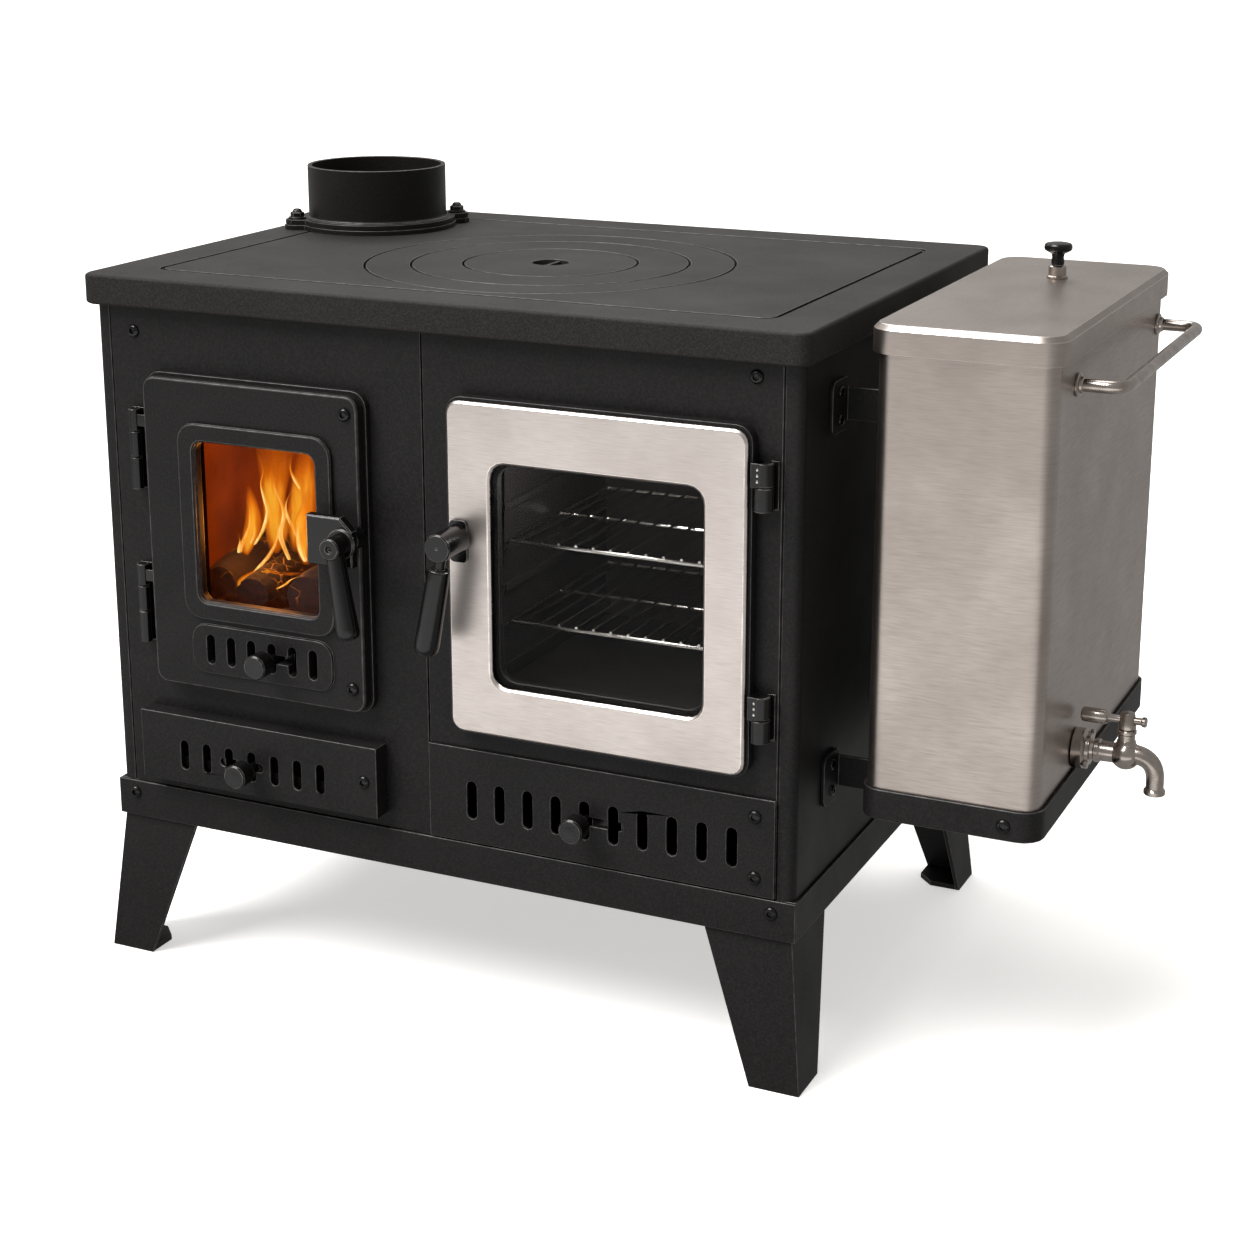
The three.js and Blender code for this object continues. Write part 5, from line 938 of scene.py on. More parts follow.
fire_axis = Vector(joints["fire_handle_turn"]["pos_m"])
latch_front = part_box("fire_latch_box")[0].y
hub_front = min(corner.co.y for corner in nodes["fire_door_handle"].data.vertices
                if corner.co.z > fire_axis.z + 6 * MM)
handle_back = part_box("fire_door_handle")[1].y
COLLAR_RADIUS = 12.5
shape = bmesh.new()
hub_place = facing(Vector((fire_axis.x, hub_front, fire_axis.z)), -FRONT)
to_latch = (latch_front - hub_front) / MM - 0.3
turned(shape, hub_place, hub_face(9, 3.2) + [(9, to_latch - 4.2), (9, to_latch), (4, to_latch),
       (4, (handle_back - hub_front) / MM), (0, (handle_back - hub_front) / MM)])
for back in (to_latch, to_latch - 2.4):
    turned(shape, hub_place, [
        (8.5, back), (COLLAR_RADIUS - 0.5, back), (COLLAR_RADIUS, back - 0.6), (COLLAR_RADIUS, back - 1.2),
        (COLLAR_RADIUS - 0.7, back - 1.9), (8.5, back - 2)], closed=True)
grip_start = Vector((fire_axis.x, hub_front + 8.6 * MM, fire_axis.z))
turned(shape, facing(grip_start, hanging(FIRE_TILT)), [
    (0, 0), (7.3, 2), (7.6, 12), (8.5, 40), (9.6, 66), (9.8, 70), (9.4, 73), (8.1, 75), (5.5, 76.2),
    (0, 76.8)])
new_piece("fire_handle", shape, [black_steel, black_steel_edge], "fire_handle", 0.3,
          ["fire_door_handle"])

oven_axis = Vector(joints["oven_handle_turn"]["pos_m"])
plate_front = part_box("oven_handle_plate")[0].y
oven_hub_front = min(corner.co.y for corner in nodes["oven_door_handle"].data.vertices
                     if corner.co.z > oven_axis.z + 4 * MM)
oven_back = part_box("oven_door_handle")[1].y
shape = bmesh.new()
hub_place = facing(Vector((oven_axis.x, oven_hub_front, oven_axis.z)), -FRONT)
to_plate = (plate_front - oven_hub_front) / MM - 0.3
turned(shape, hub_place, hub_face(11.5, 1) + [(11.5, to_plate - 1.5), (10.4, to_plate), (4, to_plate),
       (4, (oven_back - oven_hub_front) / MM), (0, (oven_back - oven_hub_front) / MM)])
neck_start = Vector((oven_axis.x, oven_hub_front + 10.7 * MM, oven_axis.z))
turned(shape, facing(neck_start, hanging(OVEN_TILT)), [
    (0, 0), (4.4, 0), (4.4, 19.3), (7.4, 19.5), (8.6, 20.3), (9.1, 21.9), (9.4, 30), (10, 70), (10.2, 85),
    (9.8, 89), (8.4, 91.5), (5.8, 92.7), (0, 93.3)])
new_piece("oven_handle", shape, [black_steel, black_steel_edge], "oven_handle", 0.3,
          ["oven_door_handle"])
for door, axis in (("fire", fire_axis), ("oven", oven_axis)):
    print("the", door, "door's handle hangs from", [round(part / MM) for part in axis])

# %% [markdown]
# ## Hinges
# Both doors lift off: the door's knuckle drops over a pin that stands in the stove's barrel. The
# fire door's knuckle is short, with a flat wing to the door, and its long barrel is welded to a
# thin leaf. Each of the oven door's knuckles is riveted to its door, and the barrel below it is
# held by a set screw. The barrels are turned here round the same axes, so they stay true when the
# door swings.

# %% Hinge barrels and leaves
def chamfered(radius, low, high, edge=0.7):
    """Profile of a rod with chamfered ends."""
    return [(0, low), (radius - edge, low), (radius, low + edge),
            (radius, high - edge), (radius - edge, high), (0, high)]


KNUCKLE_GAP = 0.4
HINGE_SHEET = 2
PIN_RADIUS = 2.6


def hinge(side, level):
    """A fixed half and a turning half, on the axis of the door's joint."""
    axis = Vector(joints[side + "_door_hinge"]["pos_m"])
    fixed_node, knuckle_node = f"{side}_hinge_fixed_{level}", f"{side}_hinge_knuckle_{level}"
    fixed_low, fixed_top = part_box(fixed_node)
    low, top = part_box(knuckle_node)
    place = Matrix.Translation(Vector((axis.x, axis.y, 0)))
    radius = (axis.y - fixed_low.y) / MM
    fixed, turning = bmesh.new(), bmesh.new()
    gap = KNUCKLE_GAP * MM
    wing_back = axis.y + (0.5 if side == "fire" else 2) * MM
    wing_front = axis.y - (2.5 if side == "fire" else radius) * MM
    inset = (4.5 if side == "fire" else 0) * MM
    wing = sorted((axis.x, top.x if side == "fire" else low.x))
    block(turning, Vector((wing[0], wing_front, low.z + inset)), Vector((wing[1], wing_back, top.z - inset)))
    turned(turning, place, chamfered(radius, low.z / MM, top.z / MM), sides=40)
    joint_z = (fixed_low.z + low.z) / 2 + 3 * MM
    barrel_top = low.z - gap
    spans = [(fixed_low.z, barrel_top)]
    if side == "fire":
        spans = [(fixed_low.z, joint_z - gap), (joint_z, barrel_top)]
    for bottom, upper in spans:
        turned(fixed, place, chamfered(radius, bottom / MM, upper / MM), sides=40)
    sheet = HINGE_SHEET * MM
    wall_y = fixed_top.y
    block(fixed, Vector((axis.x - sheet, axis.y, fixed_low.z)), Vector((axis.x + sheet, wall_y, barrel_top)))
    leaf = (fixed_low.x, fixed_top.x) if side == "fire" else (axis.x + sheet, fixed_top.x)
    block(fixed, Vector((leaf[0], wall_y - sheet, fixed_low.z)), Vector((leaf[1], wall_y, fixed_top.z)))
    pin_foot, pin_top = fixed_low.z / MM, top.z / MM - 0.3
    pin = [(0, pin_foot), (PIN_RADIUS, pin_foot), (PIN_RADIUS, pin_top), (0, pin_top)]
    turned(fixed, place, pin, sides=24)
    finishes = [black_steel, black_steel_edge]
    new_piece(f"{side}_hinge_{level}_fixed_half", fixed, finishes, "stove_body", 0.35,
              [fixed_node])
    new_piece(f"{side}_hinge_{level}_door_half", turning, finishes, side + "_door", 0.35,
              [knuckle_node])


for side in ("fire", "oven"):
    for level in ("upper", "lower"):
        hinge(side, level)
print("four hinges on the axes of", [name for name in joints if name.endswith("door_hinge")])

# %% Rivets of the oven door's knuckles
RIVET_RADIUS = 1.3
RIVET_SPACING = 4.6
rivet_profile = [(0, -0.6), (RIVET_RADIUS, -0.6), (RIVET_RADIUS, 0.2), (0.8 * RIVET_RADIUS, 0.6), (0, 0.8)]
rivet_way = Vector((-0.34, -0.94, 0)).normalized()
axis = Vector(joints["oven_door_hinge"]["pos_m"])
shape = bmesh.new()
for level in ("upper", "lower"):
    low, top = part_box("oven_hinge_knuckle_" + level)
    for row in (-1, 0, 1):
        foot = Vector((axis.x, axis.y, (low.z + top.z) / 2 + row * RIVET_SPACING * MM))
        turned(shape, facing(foot + rivet_way * (axis.y - low.y), rivet_way), rivet_profile, sides=16)
new_piece("oven_hinge_rivets", shape, [rack_wire], "oven_door")
print("rivets", 2 * RIVET_RADIUS, "mm wide,", RIVET_SPACING, "mm apart")

# %% [markdown]
# ## Sheets and a seal behind the joints
# Plain sheets keep light out of places where it doesn't belong. A baffle behind the fire
# door's vents guides the air up the glass, so the open vents look black, and a guard does the same
# in the ash drawer. A strip inside the body laps the seam between the two front sheets, and a bead
# of sooty fire cement fills each corner beside the side panels. The window is sealed by a glass rope,
# which makes the dark rim round the fire. These are all plain sheets and blocks, placed from the
# boxes of the parts that they cover.

# %% Vent baffle, glass rope, ash guard, seam strip and corner seals
BAFFLE_LAP = 7
BAFFLE_SHEET = 1.5
ROPE_LAP = 3
ROPE_WALL = 5
ROPE_DEPTH = 9.4
SEAM_LAP = 7
SEAM_SHEET = 2
SEAL_GAP = 0.1
SEAL_SETBACK = 1
BAFFLE_GAP = 0.2
GUARD_INSET = 4
GUARD_SETBACK = 9
GUARD_RISE = 3


def upright_sheet(name, node, finish, y, lap, thick, body, wall=0):
    """A sheet that covers a part's outline from behind, or a frame of that outline."""
    low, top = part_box(node)
    place = Matrix.Translation(Vector(((low.x + top.x) / 2, y, (low.z + top.z) / 2)))
    width, height = (top.x - low.x) / MM + 2 * lap, (top.z - low.z) / MM + 2 * lap
    loops = [rounded(width, height, 4)]
    if wall:
        loops.append(rounded(width - 2 * wall, height - 2 * wall, 3))
    shape = bmesh.new()
    plate(shape, place @ Matrix.Rotation(-math.pi / 2, 4, "X"), loops, 0, thick)
    new_piece(name, shape, [finish], body, 0.3)


frame_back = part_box("fire_door_frame")[1].y
glass_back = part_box("fire_window_glass")[1].y
upright_sheet("vent_baffle", "fire_door_damper", sooty_sheet, frame_back + BAFFLE_GAP * MM, BAFFLE_LAP,
              BAFFLE_SHEET, "fire_door")
upright_sheet("window_glass_rope", "fire_window_glass", glass_rope, glass_back + SEAL_GAP * MM, ROPE_LAP,
              ROPE_DEPTH, "fire_door", ROPE_WALL)
low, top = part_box("ash_drawer_tray")
shape = bmesh.new()
guard_back = low.y + (GUARD_SETBACK + BAFFLE_SHEET) * MM
block(shape, low + mm(GUARD_INSET, GUARD_SETBACK, GUARD_RISE),
      Vector((top.x - GUARD_INSET * MM, guard_back, top.z - GUARD_INSET * MM)))
new_piece("ash_guard", shape, [sooty_sheet], "ash_drawer", 0.3)
low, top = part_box("fire_front_sheet")
shape = bmesh.new()
block(shape, Vector((top.x - SEAM_LAP * MM, top.y + SEAL_GAP * MM, low.z)),
      Vector((top.x + SEAM_LAP * MM, top.y + SEAM_SHEET * MM, top.z)))
new_piece("seam_strip", shape, [sooty_sheet], "stove_body", 0.3)
shape = bmesh.new()
for left, right in ((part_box("side_panel_left")[1].x, low.x),
                    (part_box("oven_front_sheet")[1].x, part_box("side_panel_right")[0].x)):
    block(shape, Vector((left + SEAL_GAP * MM, low.y + SEAL_SETBACK * MM, low.z)),
          Vector((right - SEAL_GAP * MM, top.y, top.z)))
new_piece("corner_seals", shape, [soot_and_groove_shade], "stove_body")
slide_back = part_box("fire_door_damper")[1].y
print("the baffle stands", round((frame_back - slide_back) / MM, 1), "mm behind the slide")

# %% [markdown]
# ## Screws
# The sheets are held by pan head machine screws with a driving recess. The head is a low dome with
# a hexagonal socket sunk into it. One function makes the head, and each body gets its own group of
# them, so that a door carries its screws when it opens.

# %% Screw heads
SCREW_RADIUS = 5.6
BRACKET_SHEET = 3
BRACKET_SCREW_RADIUS = 4.6
BRACKET_SCREW_RISE = 11
BRACKET_SCREW_SETBACK = 17.5
SET_SCREW_RADIUS = 2.6
SET_SCREW_RISE = 9
SET_SCREW_SINK = 1.3
SOCKET = 4.6


def screw(shape, place, radius=SCREW_RADIUS):
    """A domed head with a hexagonal socket, standing on a surface."""
    size = radius / SCREW_RADIUS
    dome = [(radius, 0), (radius, 0.5 * size), (radius * 0.95, 1.2 * size), (radius * 0.82, 2 * size),
            (radius * 0.64, 2.6 * size)]
    rings = [[place @ mm(reach * math.cos(turn), reach * math.sin(turn), height) for turn in around(24)]
             for reach, height in dome]
    socket = hex_rings(place, [(SOCKET * size * 1.1, 2.7 * size), (SOCKET * size, 2.4 * size),
                               (SOCKET * size, 0.7 * size)])
    skin(shape, [[place @ mm(0, 0, 0)]] + rings + socket + [[place @ mm(0, 0, 0.5 * size)]])


def on_front(node, from_left=None, from_right=None, from_foot=None, from_top=None):
    """A point on a part's front, given in millimetres from two of its edges."""
    low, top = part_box(node)
    x = low.x + from_left * MM if from_right is None else top.x - from_right * MM
    z = low.z + from_foot * MM if from_top is None else top.z - from_top * MM
    return Vector((x, low.y, z))


stove_screws = [on_front("fire_front_sheet", from_left=22.8, from_top=21),
                on_front("oven_front_sheet", from_right=21.8, from_top=11),
                on_front("plinth_front", from_left=17.5, from_top=11),
                on_front("plinth_front", from_right=20.5, from_top=11),
                on_front("lower_vent_panel", from_right=16.8, from_top=15.5),
                on_front("lower_vent_panel", from_right=16.8, from_foot=15.5),
                on_front("tank_tray", from_right=27.5, from_foot=12)]
fire_screws = [on_front("fire_door_slab", from_right=11.5, from_top=15),
               on_front("fire_door_slab", from_right=11.5, from_foot=21)]
slab_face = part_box("fire_window_bezel")[1].y
for place in fire_screws:
    place.y = slab_face - 0.3 * MM
drawer_screws = [on_front("ash_drawer_front", from_right=12.5, from_foot=31)]

shape = bmesh.new()
for place in stove_screws:
    screw(shape, facing(place, FRONT))
for level in ("upper", "lower"):
    low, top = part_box("tank_bracket_" + level)
    for rise in (-BRACKET_SCREW_RISE, BRACKET_SCREW_RISE):
        place = Vector((low.x + BRACKET_SHEET * MM, low.y + BRACKET_SCREW_SETBACK * MM,
                        (low.z + top.z) / 2 + rise * MM))
        screw(shape, facing(place, RIGHT), BRACKET_SCREW_RADIUS)
    low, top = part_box("oven_hinge_fixed_" + level)
    axis = Vector(joints["oven_door_hinge"]["pos_m"])
    place = Vector((axis.x, low.y + SET_SCREW_SINK * MM, low.z + SET_SCREW_RISE * MM))
    screw(shape, facing(place, FRONT), SET_SCREW_RADIUS)
new_piece("stove_screws", shape, [black_steel, black_steel_edge], "stove_body")
for name, places, body in (("fire_door_screws", fire_screws, "fire_door"),
                           ("ash_drawer_screws", drawer_screws, "ash_drawer")):
    shape = bmesh.new()
    for place in places:
        screw(shape, facing(place, FRONT))
    new_piece(name, shape, [black_steel, black_steel_edge], body)
print("screws:", len(stove_screws) + len(fire_screws) + len(drawer_screws) + 6)

# %% [markdown]
# ## Oven racks
# Each rack is a frame of thick wire with thin wires welded across it from front to back. Straight
# bars along their paths are all it takes. They lie a little inside the CAD rack's outline, so that
# they clear the runners when the rack slides. A closed oven is dark, so one small soft light under
# its roof stands for the oven lamp that a studio would put in to show the racks.

# %% Racks
FRAME_WIRE = 1.7
CROSS_WIRE = 1.3
CROSS_COUNT = 13
RACK_INSET = 3.3


def rack(level):
    """A bent frame, two bearers and the cross wires of one rack."""
    low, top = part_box("oven_rack_" + level)
    left, right = low.x + RACK_INSET * MM, top.x - RACK_INSET * MM
    front, back = low.y + FRAME_WIRE * MM, top.y - FRAME_WIRE * MM
    height = low.z + 2.6 * MM
    shape = bmesh.new()
    loop = [Vector((left, back, height)), Vector((left, front, height)), Vector((right, front, height)),
            Vector((right, back, height)), Vector((left, back, height))]
    bar(shape, bent(loop, 5), FRAME_WIRE, sides=12)
    for deep in (0.5, 1):
        y = front + deep * (back - front)
        bar(shape, [Vector((left, y, height)), Vector((right, y, height))], FRAME_WIRE, sides=12)
    for place in range(CROSS_COUNT):
        x = left + (place + 1) / (CROSS_COUNT + 1) * (right - left)
        lift = (FRAME_WIRE + CROSS_WIRE * 0.6) * MM
        path = [Vector((x, front - 0.6 * MM, height + lift)), Vector((x, back, height + lift))]
        bar(shape, path, CROSS_WIRE, sides=10)
    new_piece("oven_rack_wires_" + level, shape, [rack_wire], "rack_" + level, 0.0,
              ["oven_rack_" + level])


rack("upper")
rack("lower")
print("racks with", CROSS_COUNT, "cross wires")

# %% A small light that shows the racks
OVEN_LIGHT_POWER = 0.7
OVEN_LIGHT_RADIUS = 22
oven_low, oven_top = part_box("oven_box")
lamp_place = Vector((oven_low.x + 0.36 * (oven_top.x - oven_low.x), oven_low.y + 30 * MM,
                     oven_top.z - OVEN_LIGHT_RADIUS * MM))
oven_light = lamp("oven_light", "POINT", OVEN_LIGHT_POWER, lamp_place, lamp_place - UP)
oven_light.data.shadow_soft_size = OVEN_LIGHT_RADIUS * MM
print("oven light", round((oven_top.z - lamp_place.z) / MM), "mm under the oven's roof")

# %% [markdown]
# ## The water tank's fittings
# The tank is filled through its lift-off lid and drained by a tap. The lid's knob is black phenolic
# on a steel ferrule. The side handle is one bent steel bar between two rosettes. The tap is a small
# steel bib cock: a collar on the tank's wall, a round body, a bent spout with a lip, and a lever
# across its stem.

# %% Lid knob and side handle
knob_low, knob_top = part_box("tank_lid_knob")
lid_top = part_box("tank_lid")[1].z
knob_middle = (knob_low + knob_top) / 2
knob_place = Matrix.Translation(Vector((knob_middle.x, knob_middle.y, lid_top)))
knob_height = (knob_top.z - lid_top) / MM
shape = bmesh.new()
turned(shape, knob_place, [
    (0, -7), (3.2, -7), (3.2, 0.2), (8.6, 0.2), (8.6, 1.6), (7.4, 2.4), (7.2, 9.6), (6.2, 10.4), (4.2, 10.6),
    (4.2, 12), (0, 12)], finish=0)
turned(shape, knob_place, [
    (0, 11), (5, 11), (5.4, 13), (4.8, 17), (5.4, 20), (8.6, 21.6), (10.9, 23), (11.5, 24.6),
    (11.3, knob_height - 2.2), (10.2, knob_height - 0.9), (7, knob_height - 0.2), (0, knob_height)], finish=1)
new_piece("lid_knob", shape, [turned_steel, phenolic], "tank_cover", 0.0, ["tank_lid_knob"])

handle_low, handle_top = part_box("tank_handle")
wall = handle_low.x
handle_z = (handle_low.z + handle_top.z) / 2
BAR_RADIUS = 4.9
ROSETTE = 9
ends = [handle_low.y + ROSETTE * MM, handle_top.y - ROSETTE * MM]
out = handle_top.x - BAR_RADIUS * MM
shape = bmesh.new()
route = [Vector((wall, ends[0], handle_z)), Vector((out, ends[0], handle_z)),
         Vector((out, ends[1], handle_z)), Vector((wall, ends[1], handle_z))]
bar(shape, bent(route, 15, steps=12), BAR_RADIUS, sides=32)
for y in ends:
    turned(shape, facing(Vector((wall, y, handle_z)), RIGHT), [
        (0, 0), (ROSETTE, 0), (ROSETTE, 1.4), (8.2, 2.2), (6.4, 2.6), (6.1, 4.4), (5.5, 5), (0, 5)])
new_piece("tank_side_handle", shape, [turned_steel], "stove_body", 0.0, ["tank_handle"])
print("lid knob", round(knob_height), "mm high, side handle", round((ends[1] - ends[0]) / MM), "mm long")

# %% Tap and its lever
tank_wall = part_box("tank_body")[1].x
stem = Vector(joints["tap_lever_turn"]["pos_m"])
tap_low, tap_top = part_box("tap_body")
BALL = 12
tap_z = tap_low.z + 29 * MM
axis_start = Vector((tank_wall + 0.3 * MM, stem.y, tap_z))
reach = (stem.x - axis_start.x) / MM
shape = bmesh.new()
turned(shape, facing(axis_start, RIGHT), [
    (0, -14), (6, -14), (6, 0), (13, 0), (16, 0.8), (16, 8.4), (14.6, 9.8), (12.6, 10.6), (12.4, 13.4),
    (8.6, 13.8), (8.2, 16), (9.4, 17), (9.4, 20), (8.2, 21.2), (7.9, reach - 6), (0, reach - 6)], sides=48)
ball_turns = [math.radians(step * 10) for step in range(15)]
ball = [(BALL * math.sin(turn), -BALL * math.cos(turn)) for turn in ball_turns]
bonnet = [(7.4, 11.4), (6.6, 12.6), (6.6, 17), (7.6, 18), (7.6, 20), (6.6, 21), (0, 21)]
on_stem = Matrix.Translation(Vector((stem.x, stem.y, tap_z)))
turned(shape, on_stem, ball + bonnet, sides=48)
turned(shape, on_stem, [(0, 20), (2.9, 20), (2.9, 31), (0, 31)], sides=24)
spout_x = tap_top.x - 8.4 * MM
route = [Vector((stem.x, stem.y, tap_z + 1.2 * MM)), Vector((spout_x, stem.y, tap_z + 1.2 * MM)),
         Vector((spout_x, stem.y, tap_low.z + 3 * MM))]
spout = bent(route, 19, steps=14)
bar(shape, spout, [8.2] + [7.8 - 0.9 * step / (len(spout) - 2) for step in range(len(spout) - 1)], sides=36)
turned(shape, facing(Vector((spout_x, stem.y, tap_low.z)), UP), [
    (5.4, 0), (8, 0), (8.4, 0.6), (8.4, 3.2), (7.6, 4), (6.9, 5.4), (5.4, 5.4)], closed=True)
for turn in (math.pi / 4, math.pi * 5 / 4):
    ear = axis_start + mm(10.6, 13.5 * math.cos(turn), 13.5 * math.sin(turn))
    turned(shape, facing(ear, RIGHT), [(0, 0), (3.6, 0), (3.6, 2.2), (3, 2.9), (0, 3.2)], sides=24)
new_piece("bib_tap", shape, [turned_steel], "stove_body", 0.0, ["tap_body"])

lever_low, lever_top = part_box("tap_lever")
shape = bmesh.new()
foot = (lever_low.z - stem.z) / MM
turned(shape, Matrix.Translation(stem), [
    (0, foot), (6.2, foot), (7, foot + 0.8), (7, foot + 5), (6.2, foot + 7), (5.9, foot + 11.6),
    (5.2, foot + 13), (3.4, foot + 13.8), (0, foot + 14)], sides=40)
left = (lever_low.x - stem.x) / MM
right = (lever_top.x - stem.x) / MM
turned(shape, facing(stem, RIGHT), [
    (0, left), (4.4, left), (5.6, left + 1), (5.9, left + 3), (5.9, left + 18), (5.3, left + 20),
    (4, left + 21), (3, left + 23), (2.8, 0), (3, right - 4), (4, right - 3.2), (4.2, right - 1),
    (3.4, right), (0, right)], sides=40)
new_piece("tap_handle", shape, [turned_steel], "tap_lever", 0.0, ["tap_lever"])
print("tap reaches", round((tap_top.x - tank_wall) / MM), "mm from the tank")

# %% [markdown]
# ## The fire
# Logs lie from front to back on a crossed layer, as they slide in through the door. They are
# charred, with glowing cracks, and embers lie between them. Flames have no surface at all, so each
# is drawn as a thin bright filament, or as a wide thin tongue that is hottest along its middle. The
# heat is stored on the mesh, and the shader turns it into colour and opacity. One small orange lamp
# between them lights the bricks and the logs.

# %% Places in the hearth and fire finishes
hearth_corner = Vector((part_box("firebrick_left")[1].x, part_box("fire_window_bezel")[0].y,
                        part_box("fire_grate")[1].z))


def hearth(across, deep, up):
    """A point in the fire: from the left brick, behind the door's face and above the grate, in mm."""
    return hearth_corner + mm(across, deep, up)


def charred_wood(name):
    """Bark burnt to charcoal: black scales with glowing cracks between them."""
    material, shader = new_finish(name, Roughness=0.9, Emission_Strength=1.0)
    scales = add(material, "TexVoronoi", {"feature": "DISTANCE_TO_EDGE"},
                 {"Vector": position(material), "Scale": 1 / (13 * MM)}).outputs["Distance"]
    bark = lumps(material, 5, detail=5)
    heat = lumps(material, 34, detail=3)
    char = blend(material, spread(material, bark, 0, 1), "#070302", "#1e0e07")
    link(material, char, shader.inputs["Base Color"])
    crack = spread(material, scales, 1, 0, 0.0, 0.05)
    hot_places = spread(material, heat, 0, 1, 0.53, 0.66)
    glow = add(material, "Math", {"operation": "MULTIPLY"}, {0: crack, 1: hot_places}).outputs["Value"]
    warm = blend(material, spread(material, bark, 0, 1), "#120400", "#381002")
    link(material, blend(material, glow, warm, "#ff8a1e"), shader.inputs["Emission Color"])
    bump(material, shader, bark, 1.6, 0.8)
    return material


FLAME_GLOW = 1.25


def flame_finish(name, cool, warm, hot, density):
    """Burning gas: colour and opacity follow the heat stored on the mesh."""
    material, shader = new_finish(name, Base_Color=(0, 0, 0, 1), Specular_IOR_Level=0.0,
                                  Emission_Strength=FLAME_GLOW)
    heat = add(material, "Attribute", {"attribute_name": "warmth"}).outputs["Fac"]
    wisps = lumps(material, 6, detail=3, stretch=(1, 1, 5))
    torn = add(material, "Math", {"operation": "MULTIPLY"}, {0: heat, 1: spread(material, wisps, 0.55, 1.15)})
    torn = torn.outputs["Value"]
    body = blend(material, spread(material, torn, 0, 1, 0.0, 0.5), cool, warm)
    flame = blend(material, spread(material, torn, 0, 1, 0.5, 0.95), body, hot)
    link(material, flame, shader.inputs["Emission Color"])
    link(material, spread(material, torn, 0, density, 0.02, 0.8), shader.inputs["Alpha"])
    return material


charcoal = charred_wood("charred_log_bark")
flame_core = flame_finish("flame_filament", "#d85a08", "#ff9c20", "#ffe68c", 0.95)
flame_veil = flame_finish("flame_veil", "#a83c02", "#f07606", "#ffb02c", 0.64)
print("hearth corner at", [round(part / MM) for part in hearth_corner])

# %% Logs and embers
LOGS = (  # across, deep, up, sideways lean, length, radius
    (4, 55, 31, None, 216, 31), (6, 119, 31, None, 212, 31), (4, 183, 31, None, 214, 31),
    (50, 54, 77, -0.2, 190, 17), (93, 40, 77, -0.16, 205, 15.5), (151, 36, 82, -0.1, 200, 20),
    (124, 118, 110, -0.32, 120, 15), (190, 60, 79, 0.0, 170, 18))
BARK_SEED = 7
EMBERS = 46
random.seed(BARK_SEED)


def firewood(shape, start, way, length, radius):
    """A round log with a ridged bark and sawn ends."""
    place = facing(start, way)
    shift = random.random() * 50
    rings = [[place @ mm(0, 0, 0)]]
    for step in range(17):
        ring = []
        for turn in around(30):
            ridges = noise.noise(Vector((math.cos(turn) * 2.2, math.sin(turn) * 2.2, step * 0.22 + shift)))
            knots = noise.noise(Vector((math.cos(turn) * 5, math.sin(turn) * 5, step * 0.9 + shift)))
            reach = radius * (1 + 0.13 * ridges + 0.06 * knots) * (0.93 if step in (0, 16) else 1)
            ring.append(place @ mm(reach * math.cos(turn), reach * math.sin(turn), length * step / 16))
        rings.append(ring)
    skin(shape, rings + [[place @ mm(0, 0, length)]])


shape = bmesh.new()
for across, deep, up, lean, length, radius in LOGS:
    way = RIGHT if lean is None else Vector((lean, 1, 0)).normalized()
    firewood(shape, hearth(across, deep, up), way, length, radius)
new_piece("firewood_logs", shape, [charcoal], "stove_body")

log_deep, log_up, log_radius = LOGS[0][1], LOGS[0][2], LOGS[0][5]
shape = bmesh.new()
for lump in range(EMBERS):
    across, deep = random.uniform(14, 205), random.uniform(34, 74)
    size = random.uniform(4, 9)
    up = log_up + math.sqrt(max(log_radius ** 2 - (deep - log_deep) ** 2, 0)) + size * 0.35
    middle_of = hearth(across, deep, up)
    before = len(shape.verts)
    bmesh.ops.create_icosphere(shape, subdivisions=2, radius=size * MM, matrix=Matrix.Translation(middle_of))
    shape.verts.ensure_lookup_table()
    for corner in shape.verts[before:]:
        push = 1 + 0.35 * noise.noise(corner.co * 160 + Vector((lump, 0, 0)))
        corner.co = middle_of + (corner.co - middle_of) * push
new_piece("embers", shape, [charcoal], "stove_body")
print(len(LOGS), "logs and", EMBERS, "embers")

# %% Flames
FILAMENTS = (  # depth, thickness, then points across and up
    (95, 2.0, (42, 88), (46, 100), (55, 117), (57, 130), (55, 140), (52, 150)),
    (95, 1.4, (43, 90), (44, 99), (45, 106), (43, 113)),
    (97, 1.2, (55, 103), (60, 117), (59, 131)),
    (100, 1.7, (57, 102), (66, 116), (72, 133), (69, 145), (66, 158), (69, 170), (65, 182), (59, 198)),
    (85, 2.0, (60, 75), (69, 85), (80, 97), (88, 109), (92, 122), (90, 132), (82, 146)),
    (90, 2.0, (99, 96), (93, 109), (91, 119), (95, 134), (94, 143), (88, 155), (86, 164), (93, 178),
     (106, 196)),
    (80, 2.4, (122, 100), (117, 112), (116, 126), (119, 139), (125, 158)),
    (100, 1.3, (104, 110), (96, 124), (91, 135), (92, 145), (99, 156), (111, 168)),
    (100, 1.2, (106, 158), (99, 169), (97, 179), (101, 194)),
    (60, 1.6, (104, 78), (113, 83), (119, 88), (129, 93), (141, 98)),
    (58, 1.2, (42, 68), (50, 73), (58, 76), (63, 82)))
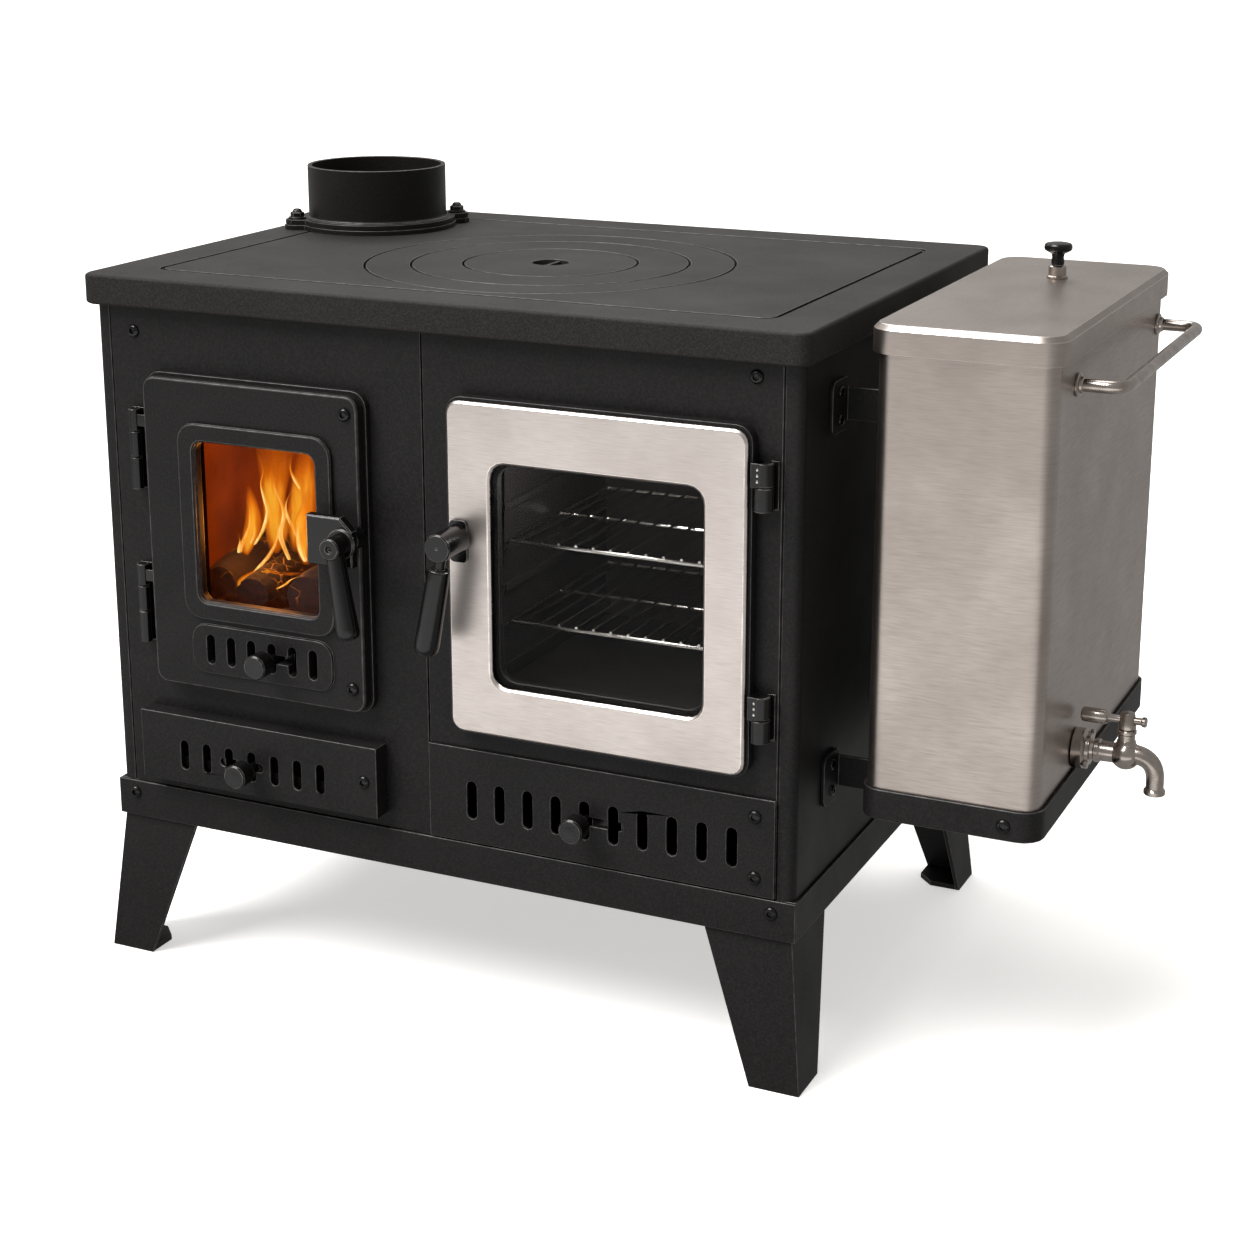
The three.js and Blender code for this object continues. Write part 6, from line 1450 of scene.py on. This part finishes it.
VEILS = (  # depth, then points across, up and half width
    (102, (76, 96, 5), (79, 110, 11), (79, 128, 13), (78, 146, 12), (79, 162, 15), (81, 182, 20),
     (84, 214, 22)),
    (98, (46, 88, 3), (53, 106, 8), (58, 124, 9), (57, 142, 6), (54, 158, 2)),
    (84, (120, 96, 5), (118, 112, 8), (117, 130, 8), (121, 148, 5), (126, 168, 2)),
    (108, (98, 98, 8), (100, 124, 14), (104, 150, 14), (108, 176, 12), (112, 204, 8)),
    (62, (62, 72, 4), (76, 84, 9), (92, 92, 8), (112, 92, 9), (132, 96, 4)))


def smooth(points, steps=6):
    """A smooth run through a few points, by Catmull and Rom's rule."""
    ends = [Vector(point) for point in (points[0], *points, points[-1])]
    run = []
    for a, b, c, d in zip(ends, ends[1:], ends[2:], ends[3:]):
        for step in range(steps):
            t = step / steps
            run.append(0.5 * (2 * b + (c - a) * t + (2 * a - 5 * b + 4 * c - d) * t ** 2
                              + (3 * b - a - 3 * c + d) * t ** 3))
    return run + [ends[-1]]


def burn(shape, rings, warmth):
    """Joins the rings of a flame and stores the heat of each point."""
    heat = shape.verts.layers.float["warmth"]
    made = skin(shape, rings)
    for corners, values in zip(made, warmth):
        for corner, value in zip(corners, values):
            corner[heat] = value


shape = bmesh.new()
shape.verts.layers.float.new("warmth")
FILAMENT_SIDES = 10
FILAMENT_SWELL = 1.5
for deep, thick, *points in FILAMENTS:
    run = smooth(points)
    rings, warmth = [], []
    for step, place in enumerate(run):
        share = step / (len(run) - 1)
        swell = 0.25 + 0.75 * math.sin(math.pi * min(share * 1.15 + 0.12, 1)) ** 1.2
        reach = FILAMENT_SWELL * thick * swell * (1.02 - share)
        middle_of = hearth(place.x, deep, place.y)
        turns = around(FILAMENT_SIDES)
        rings.append([middle_of + mm(math.cos(turn), math.sin(turn), 0) * reach for turn in turns])
        cooling = 1.0 - 0.62 * share ** 1.5
        warmth.append([cooling * (0.3 + 0.7 * abs(math.sin(turn)) ** 1.4) for turn in turns])
    first, last = points[0], points[-1]
    burn(shape, [[hearth(first[0], deep, first[1])]] + rings + [[hearth(last[0], deep, last[1] + 1)]],
         [[0.8]] + warmth + [[0.2]])
new_piece("flame_filaments", shape, [flame_core], "stove_body")

shape = bmesh.new()
shape.verts.layers.float.new("warmth")
VEIL_SIDES = 24
for deep, *points in VEILS:
    run = smooth(points)
    rings, warmth = [], []
    for step, (across, up, reach) in enumerate(run):
        share = step / (len(run) - 1)
        turns = around(VEIL_SIDES)
        rings.append([hearth(across, deep, up) + mm(math.cos(turn), 0.3 * math.sin(turn), 0) * reach
                      for turn in turns])
        fade = min(1, share * 4 + 0.25) * min(1, (1 - share) * 2.2)
        warmth.append([fade * abs(math.sin(turn)) ** 1.5 for turn in turns])
    first, last = points[0], points[-1]
    burn(shape, [[hearth(first[0], deep, first[1])]] + rings + [[hearth(last[0], deep, last[1] + 2)]],
         [[0.1]] + warmth + [[0.0]])
new_piece("flame_veils", shape, [flame_veil], "stove_body")
print(len(FILAMENTS), "filaments and", len(VEILS), "veils")

# %% The light of the fire
FIRE_POWER = 0.34
FIRE_COLOUR = (1.0, 0.33, 0.05)
FIRE_LIGHT_RADIUS = 24
fire_light = lamp("fire_light", "POINT", FIRE_POWER, hearth(84, 78, 128), hearth(84, 0, 128))
fire_light.data.color = FIRE_COLOUR
fire_light.data.shadow_soft_size = FIRE_LIGHT_RADIUS * MM
print("fire light", round((fire_light.location.z - hearth_corner.z) / MM), "mm above the grate")

# %% [markdown]
# ## The floor
# A pale painted studio floor, large enough to reach the edge of every view, and far behind it a
# round wall of the same paint that closes the view from low down. The far parts get less light
# than the near ones, so the paint glows a little and stays pale up to the edge. Neither throws
# light back on the stove, because a black finish would turn grey over a bright floor.

# %% Studio floor and backdrop, in metres
FLOOR_GLOW = 0.6
WALL_GLOW = 1.2
FLOOR_HALF = 40


def studio_paint(name, glow):
    """Pale matt paint with a weak glow, so that it stays pale far from the lights."""
    material, shader = new_finish(name, Roughness=0.8, Emission_Strength=glow)
    tone = blend(material, spread(material, lumps(material, 400, 3), 0, 1), "#f1f0ee", "#f5f4f2")
    for socket in ("Base Color", "Emission Color"):
        link(material, tone, shader.inputs[socket])
    return material


floor_mesh = bpy.data.meshes.new("studio_floor")
corners = [(x * FLOOR_HALF, y * FLOOR_HALF, 0) for x, y in ((-1, -1), (1, -1), (1, 1), (-1, 1))]
floor_mesh.from_pydata(corners, [], [(0, 1, 2, 3)])
floor = bpy.data.objects.new("studio_floor", floor_mesh)
floor.visible_diffuse = floor.visible_glossy = False
floor_mesh.materials.append(studio_paint("pale_floor_paint", FLOOR_GLOW))
scene.collection.objects.link(floor)
WALL_RADIUS = 39
WALL_HEIGHT = 16
WALL_FOOT = -0.1
shape = bmesh.new()
wall_line = [(WALL_RADIUS * math.cos(turn), WALL_RADIUS * math.sin(turn)) for turn in around(96)]
skin(shape, [[Vector((x, y, height)) for x, y in wall_line] for height in (WALL_FOOT, WALL_HEIGHT)])
wall_mesh = bpy.data.meshes.new("studio_backdrop")
shape.to_mesh(wall_mesh)
shape.free()
wall_mesh.materials.append(studio_paint("pale_wall_paint", WALL_GLOW))
backdrop = bpy.data.objects.new("studio_backdrop", wall_mesh)
scene.collection.objects.link(backdrop)
backdrop.visible_diffuse = backdrop.visible_glossy = backdrop.visible_shadow = False
print("floor", 2 * FLOOR_HALF, "m wide, backdrop", WALL_HEIGHT, "m high")
